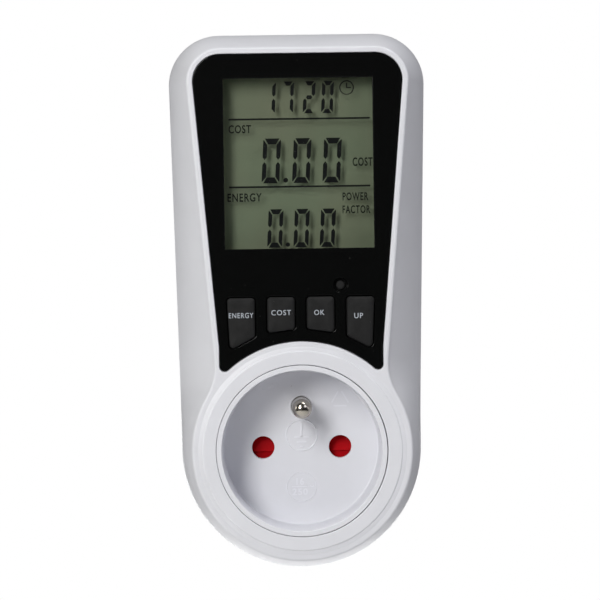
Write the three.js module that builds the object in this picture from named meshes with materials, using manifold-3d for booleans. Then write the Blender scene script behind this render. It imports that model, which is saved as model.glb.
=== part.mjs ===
// A plug-in power meter: an earthed plug on the back, an earthed socket and a display on the front.
//
// Millimetres. +Z is up and the front faces -Y. The origin is on the axis shared by the plug and the
// socket, at the plug's face, so the pins point along +Y and everything else lies at negative Y.
import * as THREE from 'three';
import { mergeVertices } from 'three/addons/utils/BufferGeometryUtils.js';
import Module from 'manifold-3d';

const wasm = await Module();
wasm.setup();

// ---------------------------------------------------------------- driving dimensions

// Depths along Y, from the front to the back
const RING_Y = -55.6;
const PLATEAU_Y = -55.0;
const PARTING_Y = -36.8;
const REAR_FACE_Y = -16.5;
const PLUG_FACE_Y = 0;
const PIN_LENGTH = 19;

// The widest outline of the case, where its two shells meet
const CASE_RADIUS = 29.5;
const CASE_TOP_Z = 102;
const CASE_CORNER_RADIUS = 12.5;
const CASE_TAPER = 0.0235;

// The black display panel and the raised border of the case round it
const PANEL_HALF_WIDTH = 25.07;
const PANEL_WIDTH_Z = 87;
const PANEL_TAPER = 0.0865;
const PANEL_TOP_Z = 95.95;
const PANEL_CORNER_RADIUS = 7;
const PANEL_ARC_RADIUS = 26.55;
const PANEL_TIP_RADIUS = 1.2;
const PANEL_SIDE_X = 19.72;
const PANEL_SIDE_TOP_Z = 25.2;
const BORDER_WIDTH = 1.7;
const BORDER_CORNER_RADIUS = 8.5;
const BORDER_SOCKET_RADIUS = 26.6;
const NECK_RADIUS = 15;

// The window in the panel
const WINDOW_HALF_WIDTH = 18.05;
const WINDOW_BOTTOM_Z = 48.9;
const WINDOW_TOP_Z = 90.05;

// Walls and gaps
const SIDE_WALL = 2;
const FRONT_WALL = 2.8;
const REAR_WALL = 2.2;
const GAP = 0.3;
const SOLDER_GAP = 0.1;

// The socket, for plugs with two round pins and a hole for its earth pin
const RING_INNER_RADIUS = 20.9;
const RING_OUTER_RADIUS = 23.75;
const RING_STEP_RADIUS = 24.95;
const CUP_RADIUS = RING_INNER_RADIUS - GAP;
const WELL_RADIUS = 19.35;
const WELL_FLOOR_RADIUS = 19.2;
const WELL_DEPTH = 15;
const WELL_FLOOR_Y = RING_Y + WELL_DEPTH;
const CUP_FLOOR_THICKNESS = 2;
const PIN_SPACING = 19;
const PIN_RADIUS = 2.4;
const SOCKET_HOLE_RADIUS = 2.7;
const EARTH_Z = 10;
const EARTH_PIN_LENGTH = 14;
const EARTH_HOLE_RADIUS = 2.7;
const SHUTTER_TRAVEL = 6;

// The keys
const KEY_FRONT_Y = -55.9;
const KEY_TRAVEL = 0.9;
const KEY_TOP_Z = 37.1;
const RESET_X = 9.7;
const RESET_Z = 39.95;

// The round plug
const PLUG_RADIUS = 19.25;
const PLUG_WALL = 2;
const PLUG_FACE_THICKNESS = 4;

// The screws that close the case: two above the display and two below the socket
const SCREW_TOP_X = 17;
const SCREW_TOP_Z = 95.9;
const SCREW_LOW_RADIUS = 23.3;
const SCREW_LOW_ANGLE = THREE.MathUtils.degToRad(-50);
const SCREW_SEAT_Y = -26.5;

// Facets
const ROUND_STEPS = 48;
const SMALL_ROUND_STEPS = 16;
const PIN_STEPS = 20;
const HOLE_STEPS = 24;
const CURVE_STEPS = 8;
const WELD_DISTANCE = 1e-4;

// How far cutters reach past the faces that they cut
const OVERCUT = 1;
const SLIVER = 0.01;

// ---------------------------------------------------------------- depths that follow

const FRONT_INSIDE_Y = PLATEAU_Y + FRONT_WALL;
const BEZEL_FRONT_Y = PLATEAU_Y + 0.2;
const BEZEL_BACK_Y = BEZEL_FRONT_Y + 1.5;
const POCKET_Y = BEZEL_BACK_Y + GAP;
const WINDOW_FRONT_Y = BEZEL_BACK_Y + GAP;
const WINDOW_BACK_Y = WINDOW_FRONT_Y + 0.8;
const LCD_FRONT_Y = WINDOW_BACK_Y + GAP;
const LCD_BACK_Y = LCD_FRONT_Y + 2.8;
const BOARD_FRONT_Y = -47;
const BOARD_BACK_Y = BOARD_FRONT_Y + 1.6;
const REAR_INSIDE_Y = REAR_FACE_Y - REAR_WALL;
const CUP_BACK_Y = WELL_FLOOR_Y + CUP_FLOOR_THICKNESS;
const CARRIER_FRONT_Y = CUP_BACK_Y + GAP;
const CARRIER_BACK_Y = CARRIER_FRONT_Y + 6;
const SHUTTER_FRONT_Y = CARRIER_FRONT_Y + GAP;
const SHUTTER_BACK_Y = SHUTTER_FRONT_Y + 1.6;
const CONTACT_BACK_Y = -25.7;
const EARTH_BAR_Y = -22;
const STRIP_THICKNESS = 0.8;
const PIN_X = PIN_SPACING / 2;

// ---------------------------------------------------------------- solids

// A closed three.js geometry as a solid for cutting and joining, with its faces pointing out.
function toSolid(geometry) {
  const bare = geometry.clone();
  bare.deleteAttribute('normal');
  bare.deleteAttribute('uv');
  const welded = mergeVertices(bare, WELD_DISTANCE);
  const points = welded.attributes.position;
  const corner = [0, 1, 2].map(() => new THREE.Vector3());
  const triangles = [];
  let volume = 0;
  for (let i = 0; i < welded.index.count; i += 3) {
    const [a, b, c] = [0, 1, 2].map((k) => welded.index.getX(i + k));
    if (a === b || b === c || c === a) continue;
    triangles.push([a, b, c]);
    [a, b, c].forEach((v, k) => corner[k].fromBufferAttribute(points, v));
    volume += corner[0].dot(corner[1].cross(corner[2]));
  }
  if (volume < 0) triangles.forEach((triangle) => triangle.reverse());
  return new wasm.Manifold(
    new wasm.Mesh({
      numProp: 3,
      vertProperties: new Float32Array(points.array),
      triVerts: new Uint32Array(triangles.flat()),
    }),
  );
}

function toGeometry(solid) {
  const { vertProperties, triVerts } = solid.getMesh();
  const geometry = new THREE.BufferGeometry();
  geometry.setAttribute('position', new THREE.BufferAttribute(vertProperties, 3));
  geometry.setIndex(new THREE.BufferAttribute(triVerts, 1));
  geometry.computeVertexNormals();
  return geometry;
}

function joinAll(solids) {
  return solids.reduce((whole, solid) => whole.add(solid));
}

function cutAll(solid, cutters) {
  return cutters.reduce((rest, cutter) => rest.subtract(cutter), solid);
}

// A prism with its outline in X and Z, from its front face to its back face.
function prism(outline, frontY, backY) {
  const depth = backY - frontY;
  const geometry = new THREE.ExtrudeGeometry(outline, {
    depth,
    bevelEnabled: false,
    curveSegments: CURVE_STEPS,
  });
  geometry.rotateX(Math.PI / 2);
  geometry.translate(0, backY, 0);
  return toSolid(geometry);
}

function block(lowX, highX, frontY, backY, lowZ, highZ) {
  const geometry = new THREE.BoxGeometry(highX - lowX, backY - frontY, highZ - lowZ);
  geometry.translate((lowX + highX) / 2, (frontY + backY) / 2, (lowZ + highZ) / 2);
  return toSolid(geometry);
}

// A round bar along Y.
function bar(radius, frontY, backY, x = 0, z = 0, steps = SMALL_ROUND_STEPS) {
  const geometry = new THREE.CylinderGeometry(radius, radius, backY - frontY, steps);
  geometry.translate(x, (frontY + backY) / 2, z);
  return toSolid(geometry);
}

// A turned piece: its profile is a list of [radius, y], turned about a line along Y.
function turned(profile, x = 0, z = 0, steps = ROUND_STEPS) {
  const points = profile.map(([radius, y]) => new THREE.Vector2(radius, y));
  const endsOnAxis = profile[0][0] === 0 && profile.at(-1)[0] === 0;
  if (!endsOnAxis) points.push(points[0].clone());
  const geometry = new THREE.LatheGeometry(points, steps);
  geometry.translate(x, 0, z);
  return toSolid(geometry);
}

function polygon(points) {
  return new THREE.Shape(points.map(([x, z]) => new THREE.Vector2(x, z)));
}

function mirroredPolygon(rightHalf) {
  const leftHalf = rightHalf.map(([x, z]) => [-x, z]).reverse();
  return polygon([...rightHalf, ...leftHalf.filter(([x]) => x !== 0)]);
}

// A solid through a row of rings with equally many points, closed flat at both ends.
function loft(rings) {
  const count = rings[0].outline.length;
  const positions = rings.flatMap(({ outline, y }) => outline.flatMap((p) => [p.x, y, p.y]));
  const index = [];
  for (let ring = 0; ring + 1 < rings.length; ring += 1) {
    for (let i = 0; i < count; i += 1) {
      const next = (i + 1) % count;
      const [a, b] = [ring * count + i, ring * count + next];
      index.push(a, b + count, b, a, a + count, b + count);
    }
  }
  const last = (rings.length - 1) * count;
  const frontCap = THREE.ShapeUtils.triangulateShape(rings[0].outline, []);
  const backCap = THREE.ShapeUtils.triangulateShape(rings.at(-1).outline, []);
  frontCap.forEach(([a, b, c]) => index.push(a, b, c));
  backCap.forEach(([a, b, c]) => index.push(last + a, last + c, last + b));
  const geometry = new THREE.BufferGeometry();
  geometry.setAttribute('position', new THREE.Float32BufferAttribute(positions, 3));
  geometry.setIndex(index);
  return toSolid(geometry);
}

// ---------------------------------------------------------------- outlines of the case

function caseHalfWidth(z) {
  return CASE_RADIUS + CASE_TAPER * z;
}

function panelHalfWidth(z) {
  return PANEL_HALF_WIDTH + PANEL_TAPER * (z - PANEL_WIDTH_Z);
}

function borderHalfWidth(z) {
  return panelHalfWidth(z) + BORDER_WIDTH;
}

// The neck is an arc that touches the circle round the socket and the border's straight side.
function neckArc() {
  const normalAngle = Math.atan(-PANEL_TAPER);
  const reach = NECK_RADIUS / Math.cos(normalAngle);
  const distance = BORDER_SOCKET_RADIUS + NECK_RADIUS;
  // The centre is at x = start + taper z, and at this distance from the socket's axis.
  const start = borderHalfWidth(0) + reach;
  const a = 1 + PANEL_TAPER ** 2;
  const b = start * PANEL_TAPER;
  const c = start ** 2 - distance ** 2;
  const z = (-b + Math.sqrt(b * b - a * c)) / a;
  return { x: start + PANEL_TAPER * z, z, sideAngle: Math.PI + normalAngle };
}

const NECK = neckArc();
const NECK_ANGLE = Math.atan2(NECK.z, NECK.x);
const BOTTOM_ARC_STEPS = 10;
const SIDE_ARC_STEPS = 3;
const NECK_STEPS = 5;
const SIDE_STEPS = 3;
const CORNER_STEPS = 6;

function arcPoints(x, z, radius, from, to, steps) {
  return Array.from({ length: steps + 1 }, (_, i) => {
    const angle = THREE.MathUtils.lerp(from, to, i / steps);
    return new THREE.Vector2(x + radius * Math.cos(angle), z + radius * Math.sin(angle));
  });
}

// Right half of the border's outline, from the lowest point to the top corner.
function borderHalf(inset) {
  const radius = BORDER_SOCKET_RADIUS - inset;
  const cornerZ = PANEL_TOP_Z + BORDER_WIDTH - BORDER_CORNER_RADIUS;
  const cornerX = borderHalfWidth(cornerZ) - BORDER_CORNER_RADIUS;
  const neckRadius = NECK_RADIUS + inset;
  const neckStart = Math.PI + NECK_ANGLE;
  const neck = arcPoints(NECK.x, NECK.z, neckRadius, neckStart, NECK.sideAngle, NECK_STEPS);
  const corner = arcPoints(cornerX, cornerZ, BORDER_CORNER_RADIUS - inset, 0, Math.PI / 2, CORNER_STEPS);
  const side = Array.from({ length: SIDE_STEPS - 1 }, (_, i) =>
    neck.at(-1).clone().lerp(corner[0], (i + 1) / SIDE_STEPS));
  return [
    ...arcPoints(0, 0, radius, -Math.PI / 2, 0, BOTTOM_ARC_STEPS),
    ...arcPoints(0, 0, radius, 0, NECK_ANGLE, SIDE_ARC_STEPS).slice(1),
    ...neck.slice(1),
    ...side,
    ...corner,
  ];
}

// Right half of the case's outline, with its points level with the border's.
function caseHalf(inset) {
  const cornerZ = CASE_TOP_Z - CASE_CORNER_RADIUS;
  const cornerX = caseHalfWidth(cornerZ) - CASE_CORNER_RADIUS;
  const bottom = arcPoints(0, 0, CASE_RADIUS - inset, -Math.PI / 2, 0, BOTTOM_ARC_STEPS);
  const corner = arcPoints(cornerX, cornerZ, CASE_CORNER_RADIUS - inset, 0, Math.PI / 2, CORNER_STEPS);
  const side = borderHalf(0)
    .slice(bottom.length, -corner.length)
    .map((p) => new THREE.Vector2(caseHalfWidth(p.y) - inset, p.y));
  return [...bottom, ...side, ...corner];
}

function bothHalves(half) {
  const left = half.map((p) => new THREE.Vector2(-p.x, p.y)).reverse();
  return [...half, ...left.slice(0, -1)];
}

// An outline between the border's, at blend 0, and the case's, at blend 1.
function caseRing(y, blend, inset) {
  const outer = caseHalf(inset);
  const half = borderHalf(inset).map((p, i) => p.lerp(outer[i], blend));
  return { y, outline: bothHalves(half) };
}

// The panel's outline, grown all round by a distance.
function panelOutline(grow) {
  const tipX = PANEL_SIDE_X - PANEL_TIP_RADIUS;
  const tipZ = Math.sqrt((PANEL_ARC_RADIUS + PANEL_TIP_RADIUS) ** 2 - tipX ** 2);
  const tipAngle = Math.atan2(tipZ, tipX);
  const cornerZ = PANEL_TOP_Z - PANEL_CORNER_RADIUS;
  const cornerX = panelHalfWidth(cornerZ) - PANEL_CORNER_RADIUS;
  const cornerRadius = PANEL_CORNER_RADIUS + grow;
  const tipRadius = PANEL_TIP_RADIUS + grow;
  const shape = new THREE.Shape();
  shape.moveTo(PANEL_SIDE_X + grow, tipZ);
  shape.lineTo(PANEL_SIDE_X + grow, PANEL_SIDE_TOP_Z);
  shape.absarc(cornerX, cornerZ, cornerRadius, 0, Math.PI / 2, false);
  shape.absarc(-cornerX, cornerZ, cornerRadius, Math.PI / 2, Math.PI, false);
  shape.lineTo(-PANEL_SIDE_X - grow, PANEL_SIDE_TOP_Z);
  shape.absarc(-tipX, tipZ, tipRadius, Math.PI, 2 * Math.PI - tipAngle, false);
  shape.absarc(0, 0, PANEL_ARC_RADIUS - grow, Math.PI - tipAngle, tipAngle, true);
  shape.absarc(tipX, tipZ, tipRadius, Math.PI + tipAngle, 2 * Math.PI, false);
  return shape;
}

function rectangle(lowX, highX, lowZ, highZ) {
  return polygon([[lowX, lowZ], [highX, lowZ], [highX, highZ], [lowX, highZ]]);
}

// ---------------------------------------------------------------- the case

function screwPlaces() {
  const lowX = SCREW_LOW_RADIUS * Math.cos(SCREW_LOW_ANGLE);
  const lowZ = SCREW_LOW_RADIUS * Math.sin(SCREW_LOW_ANGLE);
  return [
    [-SCREW_TOP_X, SCREW_TOP_Z],
    [SCREW_TOP_X, SCREW_TOP_Z],
    [-lowX, lowZ],
    [lowX, lowZ],
  ];
}

const SCREW_HEAD_RADIUS = 2.1;
const SCREW_HEAD_HEIGHT = 1.7;
const SCREW_SHANK_RADIUS = 1.1;
const SCREW_TIP_Y = -46;
const SCREW_TIP_LENGTH = 1.5;
const SCREW_HEAD_SIDE = 1;
const SCREW_CROWN_RADIUS = 1.4;
const SCREW_HOLE_RADIUS = SCREW_SHANK_RADIUS + GAP;
const SCREW_WELL_RADIUS = SCREW_HEAD_RADIUS + GAP;
const FRONT_BOSS_RADIUS = 2.3;
const REAR_BOSS_RADIUS = 3.1;

const FRONT_EDGE_DEPTH = 0.9;
const FLANK_FRONT_Y = PLATEAU_Y + FRONT_EDGE_DEPTH;

// The rounded edges of the two shells, as steps of inset and distance from the end face
const FRONT_EDGE = [[1.1, 0], [0.32, 0.28]];
const REAR_EDGE = [[0.9, 3], [1.7, 0.8], [3, 0]];

// Details inside the shells
const SKIRT_LENGTH = 8;
const SKIRT_THICKNESS = 1.8;
const WINDOW_LEDGE = 2.4;
const LIP_HEIGHT = 2;
const LIP_THICKNESS = 1;
const REAR_BOSS_RECESS = 0.5;
const BOSS_SOCKET_DEPTH = 3;

// A ring on the flank, which widens evenly from the border to the parting line.
function flankRing(y, inset) {
  const blend = THREE.MathUtils.clamp((y - FLANK_FRONT_Y) / (PARTING_Y - FLANK_FRONT_Y), 0, 1);
  return caseRing(y, blend, inset);
}

function outerFront() {
  return loft([
    ...FRONT_EDGE.map(([inset, depth]) => caseRing(PLATEAU_Y + depth, 0, inset)),
    flankRing(FLANK_FRONT_Y, 0),
    flankRing(PARTING_Y, 0),
  ]);
}

// The hole behind the keys, inside the ledge that carries the panel.
function keyOpening() {
  return mirroredPolygon([[0, 28.3], [8.2, 27.3], [11, 26.3], [18.6, 23.6], [18.6, 42.5]]);
}

function frontShell() {
  const outside = outerFront();
  const inside = loft([
    flankRing(FRONT_INSIDE_Y, SIDE_WALL),
    flankRing(PARTING_Y, SIDE_WALL),
    flankRing(PARTING_Y + OVERCUT, SIDE_WALL),
  ]);
  const skirtBackY = FRONT_INSIDE_Y + SKIRT_LENGTH;
  const skirtRadius = RING_INNER_RADIUS + SKIRT_THICKNESS;
  const ring = turned([
    [RING_INNER_RADIUS - GAP, skirtBackY],
    [RING_INNER_RADIUS - GAP, RING_Y],
    [RING_OUTER_RADIUS, RING_Y],
    [RING_STEP_RADIUS, PLATEAU_Y],
    [RING_STEP_RADIUS, FRONT_INSIDE_Y - GAP],
    [skirtRadius, FRONT_INSIDE_Y - GAP],
    [skirtRadius, skirtBackY],
  ]);
  const bosses = screwPlaces().map(([x, z]) =>
    bar(FRONT_BOSS_RADIUS, FRONT_INSIDE_Y - GAP, PARTING_Y, x, z).intersect(outside));
  return cutAll(joinAll([outside.subtract(inside), ring, ...bosses]), [
    bar(RING_INNER_RADIUS, RING_Y - OVERCUT, skirtBackY + OVERCUT, 0, 0, ROUND_STEPS),
    prism(panelOutline(GAP / 2), RING_Y - OVERCUT, POCKET_Y),
    prism(
      rectangle(
        -WINDOW_HALF_WIDTH - WINDOW_LEDGE,
        WINDOW_HALF_WIDTH + WINDOW_LEDGE,
        WINDOW_BOTTOM_Z - WINDOW_LEDGE,
        WINDOW_TOP_Z + WINDOW_LEDGE,
      ),
      POCKET_Y - OVERCUT,
      FRONT_INSIDE_Y + OVERCUT,
    ),
    prism(keyOpening(), POCKET_Y - OVERCUT, FRONT_INSIDE_Y + OVERCUT),
    ...screwPlaces().map(([x, z]) =>
      bar(SCREW_HOLE_RADIUS, SCREW_TIP_Y - OVERCUT, PARTING_Y + OVERCUT, x, z)),
  ]);
}

function rearShell() {
  const frontY = PARTING_Y + GAP;
  const outside = loft([
    caseRing(frontY, 1, 0),
    ...REAR_EDGE.map(([inset, depth]) => caseRing(REAR_FACE_Y - depth, 1, inset)),
  ]);
  const inside = loft([
    caseRing(frontY - OVERCUT, 1, SIDE_WALL),
    caseRing(REAR_INSIDE_Y, 1, SIDE_WALL + 1),
  ]);
  const lipFrontY = frontY - LIP_HEIGHT;
  const lipInset = SIDE_WALL + GAP;
  const lip = loft([
    flankRing(lipFrontY, lipInset),
    flankRing(frontY + OVERCUT, SIDE_WALL - GAP),
  ]).subtract(loft([
    flankRing(lipFrontY - OVERCUT, lipInset + LIP_THICKNESS),
    flankRing(frontY + 2 * OVERCUT, lipInset + LIP_THICKNESS / 2),
  ]));
  const bosses = screwPlaces().map(([x, z]) =>
    bar(REAR_BOSS_RADIUS, frontY, REAR_FACE_Y - REAR_BOSS_RECESS, x, z).intersect(outside));
  const plugHoleRadius = PLUG_RADIUS + GAP;
  const outsideY = REAR_FACE_Y + OVERCUT;
  return cutAll(joinAll([outside.subtract(inside), lip, ...bosses]), [
    bar(plugHoleRadius, REAR_INSIDE_Y - OVERCUT, outsideY, 0, 0, ROUND_STEPS),
    ...screwPlaces().flatMap(([x, z]) => [
      bar(FRONT_BOSS_RADIUS + GAP, frontY - BOSS_SOCKET_DEPTH, frontY, x, z),
      bar(SCREW_HOLE_RADIUS, frontY - OVERCUT, outsideY, x, z),
      bar(SCREW_WELL_RADIUS, SCREW_SEAT_Y, outsideY, x, z),
    ]),
  ]);
}

// A screw along Y with its head at the back.
function caseScrew() {
  const headY = SCREW_SEAT_Y + SOLDER_GAP;
  return turned([
    [0, SCREW_TIP_Y],
    [SCREW_SHANK_RADIUS, SCREW_TIP_Y + SCREW_TIP_LENGTH],
    [SCREW_SHANK_RADIUS, headY],
    [SCREW_HEAD_RADIUS, headY],
    [SCREW_HEAD_RADIUS, headY + SCREW_HEAD_SIDE],
    [SCREW_CROWN_RADIUS, headY + SCREW_HEAD_HEIGHT],
    [0, headY + SCREW_HEAD_HEIGHT],
  ], 0, 0, SMALL_ROUND_STEPS);
}

// ---------------------------------------------------------------- display and keys

// The outlines of the right-hand keys; the left-hand ones mirror them.
const INNER_KEY = [[1.5, 29.7], [8.05, 28.8], [8.05, KEY_TOP_Z], [1.5, KEY_TOP_Z]];
const OUTER_KEY = [[11.1, 27.4], [16.7, 24.9], [17.3, 25.5], [17.8, KEY_TOP_Z], [11.1, KEY_TOP_Z]];

function mirrored(points) {
  return points.map(([x, z]) => [-x, z]).reverse();
}

const KEYS = {
  energy_key: mirrored(OUTER_KEY),
  cost_key: mirrored(INNER_KEY),
  ok_key: INNER_KEY,
  up_key: OUTER_KEY,
};

function middleOf(points) {
  const box = new THREE.Box2().setFromPoints(points.map(([x, z]) => new THREE.Vector2(x, z)));
  return box.getCenter(new THREE.Vector2());
}

// An outline grown about its middle by about the same distance all round.
function grown(points, distance) {
  const middle = middleOf(points);
  const size = new THREE.Box2()
    .setFromPoints(points.map(([x, z]) => new THREE.Vector2(x, z)))
    .getSize(new THREE.Vector2());
  const scaleX = 1 + (2 * distance) / size.x;
  const scaleZ = 1 + (2 * distance) / size.y;
  return points.map(([x, z]) => [
    middle.x + (x - middle.x) * scaleX,
    middle.y + (z - middle.y) * scaleZ,
  ]);
}

const KEY_FLANGE_Y = BEZEL_BACK_Y + GAP;
const KEY_FLANGE_MARGIN = 0.6;
const KEY_FLANGE_BACK_Y = KEY_FLANGE_Y + 0.8;
const KEY_HOLE_GAP = 0.25;
const KEY_STEM_HALF = 1.8;
const KEY_STEM_BACK_Y = BOARD_FRONT_Y - KEY_TRAVEL - SOLDER_GAP;
const MAT_THICKNESS = 0.8;
const RESET_RADIUS = 1.1;
const RESET_FLANGE_RADIUS = 1.9;
const RESET_FRONT_Y = BEZEL_FRONT_Y + 0.3;
const RESET_DISH_RADIUS = 1.95;
const RESET_DISH_DEPTH = 0.7;
const RESET_HOLE_GAP = 0.2;

function keyCap(outline) {
  const middle = middleOf(outline);
  return joinAll([
    prism(polygon(outline), KEY_FRONT_Y, KEY_FLANGE_BACK_Y),
    prism(polygon(grown(outline, KEY_FLANGE_MARGIN)), KEY_FLANGE_Y, KEY_FLANGE_BACK_Y),
    block(
      middle.x - KEY_STEM_HALF,
      middle.x + KEY_STEM_HALF,
      KEY_FLANGE_BACK_Y - GAP,
      KEY_STEM_BACK_Y,
      middle.y - KEY_STEM_HALF,
      middle.y + KEY_STEM_HALF,
    ),
  ]);
}

function resetKey() {
  return turned([
    [0, RESET_FRONT_Y],
    [RESET_RADIUS, RESET_FRONT_Y],
    [RESET_RADIUS, KEY_FLANGE_Y],
    [RESET_FLANGE_RADIUS, KEY_FLANGE_Y],
    [RESET_FLANGE_RADIUS, KEY_FLANGE_BACK_Y],
    [RESET_RADIUS, KEY_FLANGE_BACK_Y],
    [RESET_RADIUS, KEY_STEM_BACK_Y],
    [0, KEY_STEM_BACK_Y],
  ], RESET_X, RESET_Z, SMALL_ROUND_STEPS);
}

function displayBezel() {
  const keyHoles = Object.values(KEYS).map((outline) =>
    prism(polygon(grown(outline, KEY_HOLE_GAP)), BEZEL_FRONT_Y - OVERCUT, BEZEL_BACK_Y + OVERCUT));
  const window = rectangle(-WINDOW_HALF_WIDTH, WINDOW_HALF_WIDTH, WINDOW_BOTTOM_Z, WINDOW_TOP_Z);
  const dishY = BEZEL_FRONT_Y + RESET_DISH_DEPTH;
  return cutAll(prism(panelOutline(0), BEZEL_FRONT_Y, BEZEL_BACK_Y), [
    ...keyHoles,
    prism(window, BEZEL_FRONT_Y - OVERCUT, BEZEL_BACK_Y + OVERCUT),
    bar(RESET_DISH_RADIUS, BEZEL_FRONT_Y - OVERCUT, dishY, RESET_X, RESET_Z),
    bar(RESET_RADIUS + RESET_HOLE_GAP, BEZEL_FRONT_Y, BEZEL_BACK_Y + OVERCUT, RESET_X, RESET_Z),
  ]);
}

const PANE_MARGIN = 2;
const LCD_HALF_WIDTH = 20.4;
const LCD_BOTTOM_Z = 46.2;
const LCD_TOP_Z = 92.2;

function displayWindow() {
  return block(
    -WINDOW_HALF_WIDTH - PANE_MARGIN,
    WINDOW_HALF_WIDTH + PANE_MARGIN,
    WINDOW_FRONT_Y,
    WINDOW_BACK_Y,
    WINDOW_BOTTOM_Z - PANE_MARGIN,
    WINDOW_TOP_Z + PANE_MARGIN,
  );
}

function lcdPanel() {
  return block(-LCD_HALF_WIDTH, LCD_HALF_WIDTH, LCD_FRONT_Y, LCD_BACK_Y, LCD_BOTTOM_Z, LCD_TOP_Z);
}

const ZEBRA_HALF_LENGTH = 19;
const ZEBRA_HEIGHT = 1.6;
const ZEBRA_Z = [LCD_BOTTOM_Z + ZEBRA_HEIGHT, LCD_TOP_Z - ZEBRA_HEIGHT];
const HOLDER_RIM = 0.9;

function zebraBlock(z, margin, frontY, backY) {
  return block(
    -ZEBRA_HALF_LENGTH - margin,
    ZEBRA_HALF_LENGTH + margin,
    frontY,
    backY,
    z - ZEBRA_HEIGHT / 2 - margin,
    z + ZEBRA_HEIGHT / 2 + margin,
  );
}

function zebraStrip(z) {
  return zebraBlock(z, 0, LCD_BACK_Y + SOLDER_GAP, BOARD_FRONT_Y - SOLDER_GAP);
}

function lcdHolder() {
  const backY = BOARD_FRONT_Y - GAP;
  const seat = GAP / 2;
  const frame = block(
    -LCD_HALF_WIDTH - HOLDER_RIM,
    LCD_HALF_WIDTH + HOLDER_RIM,
    LCD_FRONT_Y,
    backY,
    LCD_BOTTOM_Z - HOLDER_RIM,
    LCD_TOP_Z + HOLDER_RIM,
  );
  return cutAll(frame, [
    block(
      -LCD_HALF_WIDTH - seat,
      LCD_HALF_WIDTH + seat,
      LCD_FRONT_Y - OVERCUT,
      LCD_BACK_Y + seat,
      LCD_BOTTOM_Z - seat,
      LCD_TOP_Z + seat,
    ),
    ...ZEBRA_Z.map((z) => zebraBlock(z, GAP, LCD_BACK_Y, backY + OVERCUT)),
  ]);
}

const MAT_HALF_WIDTH = 18.5;
const MAT_LOW_Z = 25.5;
const MAT_TOP_Z = 42.5;

function keypadMat() {
  const backY = BOARD_FRONT_Y - SOLDER_GAP;
  const frontY = backY - MAT_THICKNESS;
  const mat = block(-MAT_HALF_WIDTH, MAT_HALF_WIDTH, frontY, backY, MAT_LOW_Z, MAT_TOP_Z);
  const stemHoles = Object.values(KEYS).map((outline) => {
    const middle = middleOf(outline);
    const half = KEY_STEM_HALF + GAP;
    return block(
      middle.x - half,
      middle.x + half,
      frontY - OVERCUT,
      BOARD_FRONT_Y,
      middle.y - half,
      middle.y + half,
    );
  });
  return cutAll(mat, [
    ...stemHoles,
    bar(RESET_RADIUS + GAP, frontY - OVERCUT, BOARD_FRONT_Y, RESET_X, RESET_Z),
  ]);
}

// ---------------------------------------------------------------- the circuit board

const BOARD_HALF_WIDTH = 21.3;
const PART_FRONT_Y = BOARD_BACK_Y + SOLDER_GAP;

// The sizes of the parts on the board and the places of their middles
const CHIP = { halfWidth: 5, halfHeight: 3.75, depth: 2.3, x: -1, z: 61.75 };
const CRYSTAL = { width: 11, height: 4.4, corner: 1.8, depth: 3.5, x: -1, z: 70 };
const FILM_CAPACITOR = { width: 18, height: 7, corner: 0.6, depth: 12, x: 1, z: 37 };
const SMOOTHING_CAPACITOR = { radius: 4, depth: 11.5, x: 12.5, z: 50 };
const FUSIBLE_RESISTOR = { radius: 1.8, length: 9, x: -11, z: 49 };
const BACKUP_CELLS = { radius: 5.9, length: 17, x: 0, z: 82 };
const CAN_STEPS = 24;
const CROSS_BAR_STEPS = 20;

function mainBoard() {
  const outline = mirroredPolygon([
    [0, 24],
    [17.5, 24],
    [19.5, 27],
    [BOARD_HALF_WIDTH, 46],
    [BOARD_HALF_WIDTH, 90],
    [18.5, 93.1],
    [0, 93.1],
  ]);
  return prism(outline, BOARD_FRONT_Y, BOARD_BACK_Y);
}

function controllerChip() {
  const { halfWidth, halfHeight, depth, x, z } = CHIP;
  return block(
    x - halfWidth,
    x + halfWidth,
    PART_FRONT_Y,
    PART_FRONT_Y + depth,
    z - halfHeight,
    z + halfHeight,
  );
}

// A block on the board with its corners rounded.
function roundedBlock({ width, height, corner, depth, x, z }) {
  const shape = new THREE.Shape();
  const [halfX, halfZ] = [width / 2 - corner, height / 2 - corner];
  [[halfX, halfZ], [-halfX, halfZ], [-halfX, -halfZ], [halfX, -halfZ]].forEach(([cornerX, cornerZ], i) => {
    const start = (i * Math.PI) / 2;
    shape.absarc(x + cornerX, z + cornerZ, corner, start, start + Math.PI / 2, false);
  });
  return prism(shape, PART_FRONT_Y, PART_FRONT_Y + depth);
}

function smoothingCapacitor() {
  const { radius, depth, x, z } = SMOOTHING_CAPACITOR;
  return bar(radius, PART_FRONT_Y, PART_FRONT_Y + depth, x, z, CAN_STEPS);
}

// A round part that lies along X on the board.
function crossBar({ radius, length, x, z }) {
  const geometry = new THREE.CylinderGeometry(radius, radius, length, CROSS_BAR_STEPS);
  geometry.rotateZ(Math.PI / 2);
  geometry.translate(x, PART_FRONT_Y + radius, z);
  return toSolid(geometry);
}

// ---------------------------------------------------------------- the socket

function socketCup() {
  const cup = turned([
    [0, WELL_FLOOR_Y],
    [WELL_FLOOR_RADIUS, WELL_FLOOR_Y],
    [WELL_RADIUS, RING_Y],
    [CUP_RADIUS, RING_Y],
    [CUP_RADIUS, CUP_BACK_Y],
    [0, CUP_BACK_Y],
  ]);
  const holes = [
    [SOCKET_HOLE_RADIUS, -PIN_X, 0],
    [SOCKET_HOLE_RADIUS, PIN_X, 0],
    [EARTH_HOLE_RADIUS, 0, EARTH_Z],
  ];
  return cutAll(cup, holes.map(([radius, x, z]) =>
    bar(radius, WELL_FLOOR_Y - OVERCUT, CUP_BACK_Y + OVERCUT, x, z, HOLE_STEPS)));
}

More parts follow.
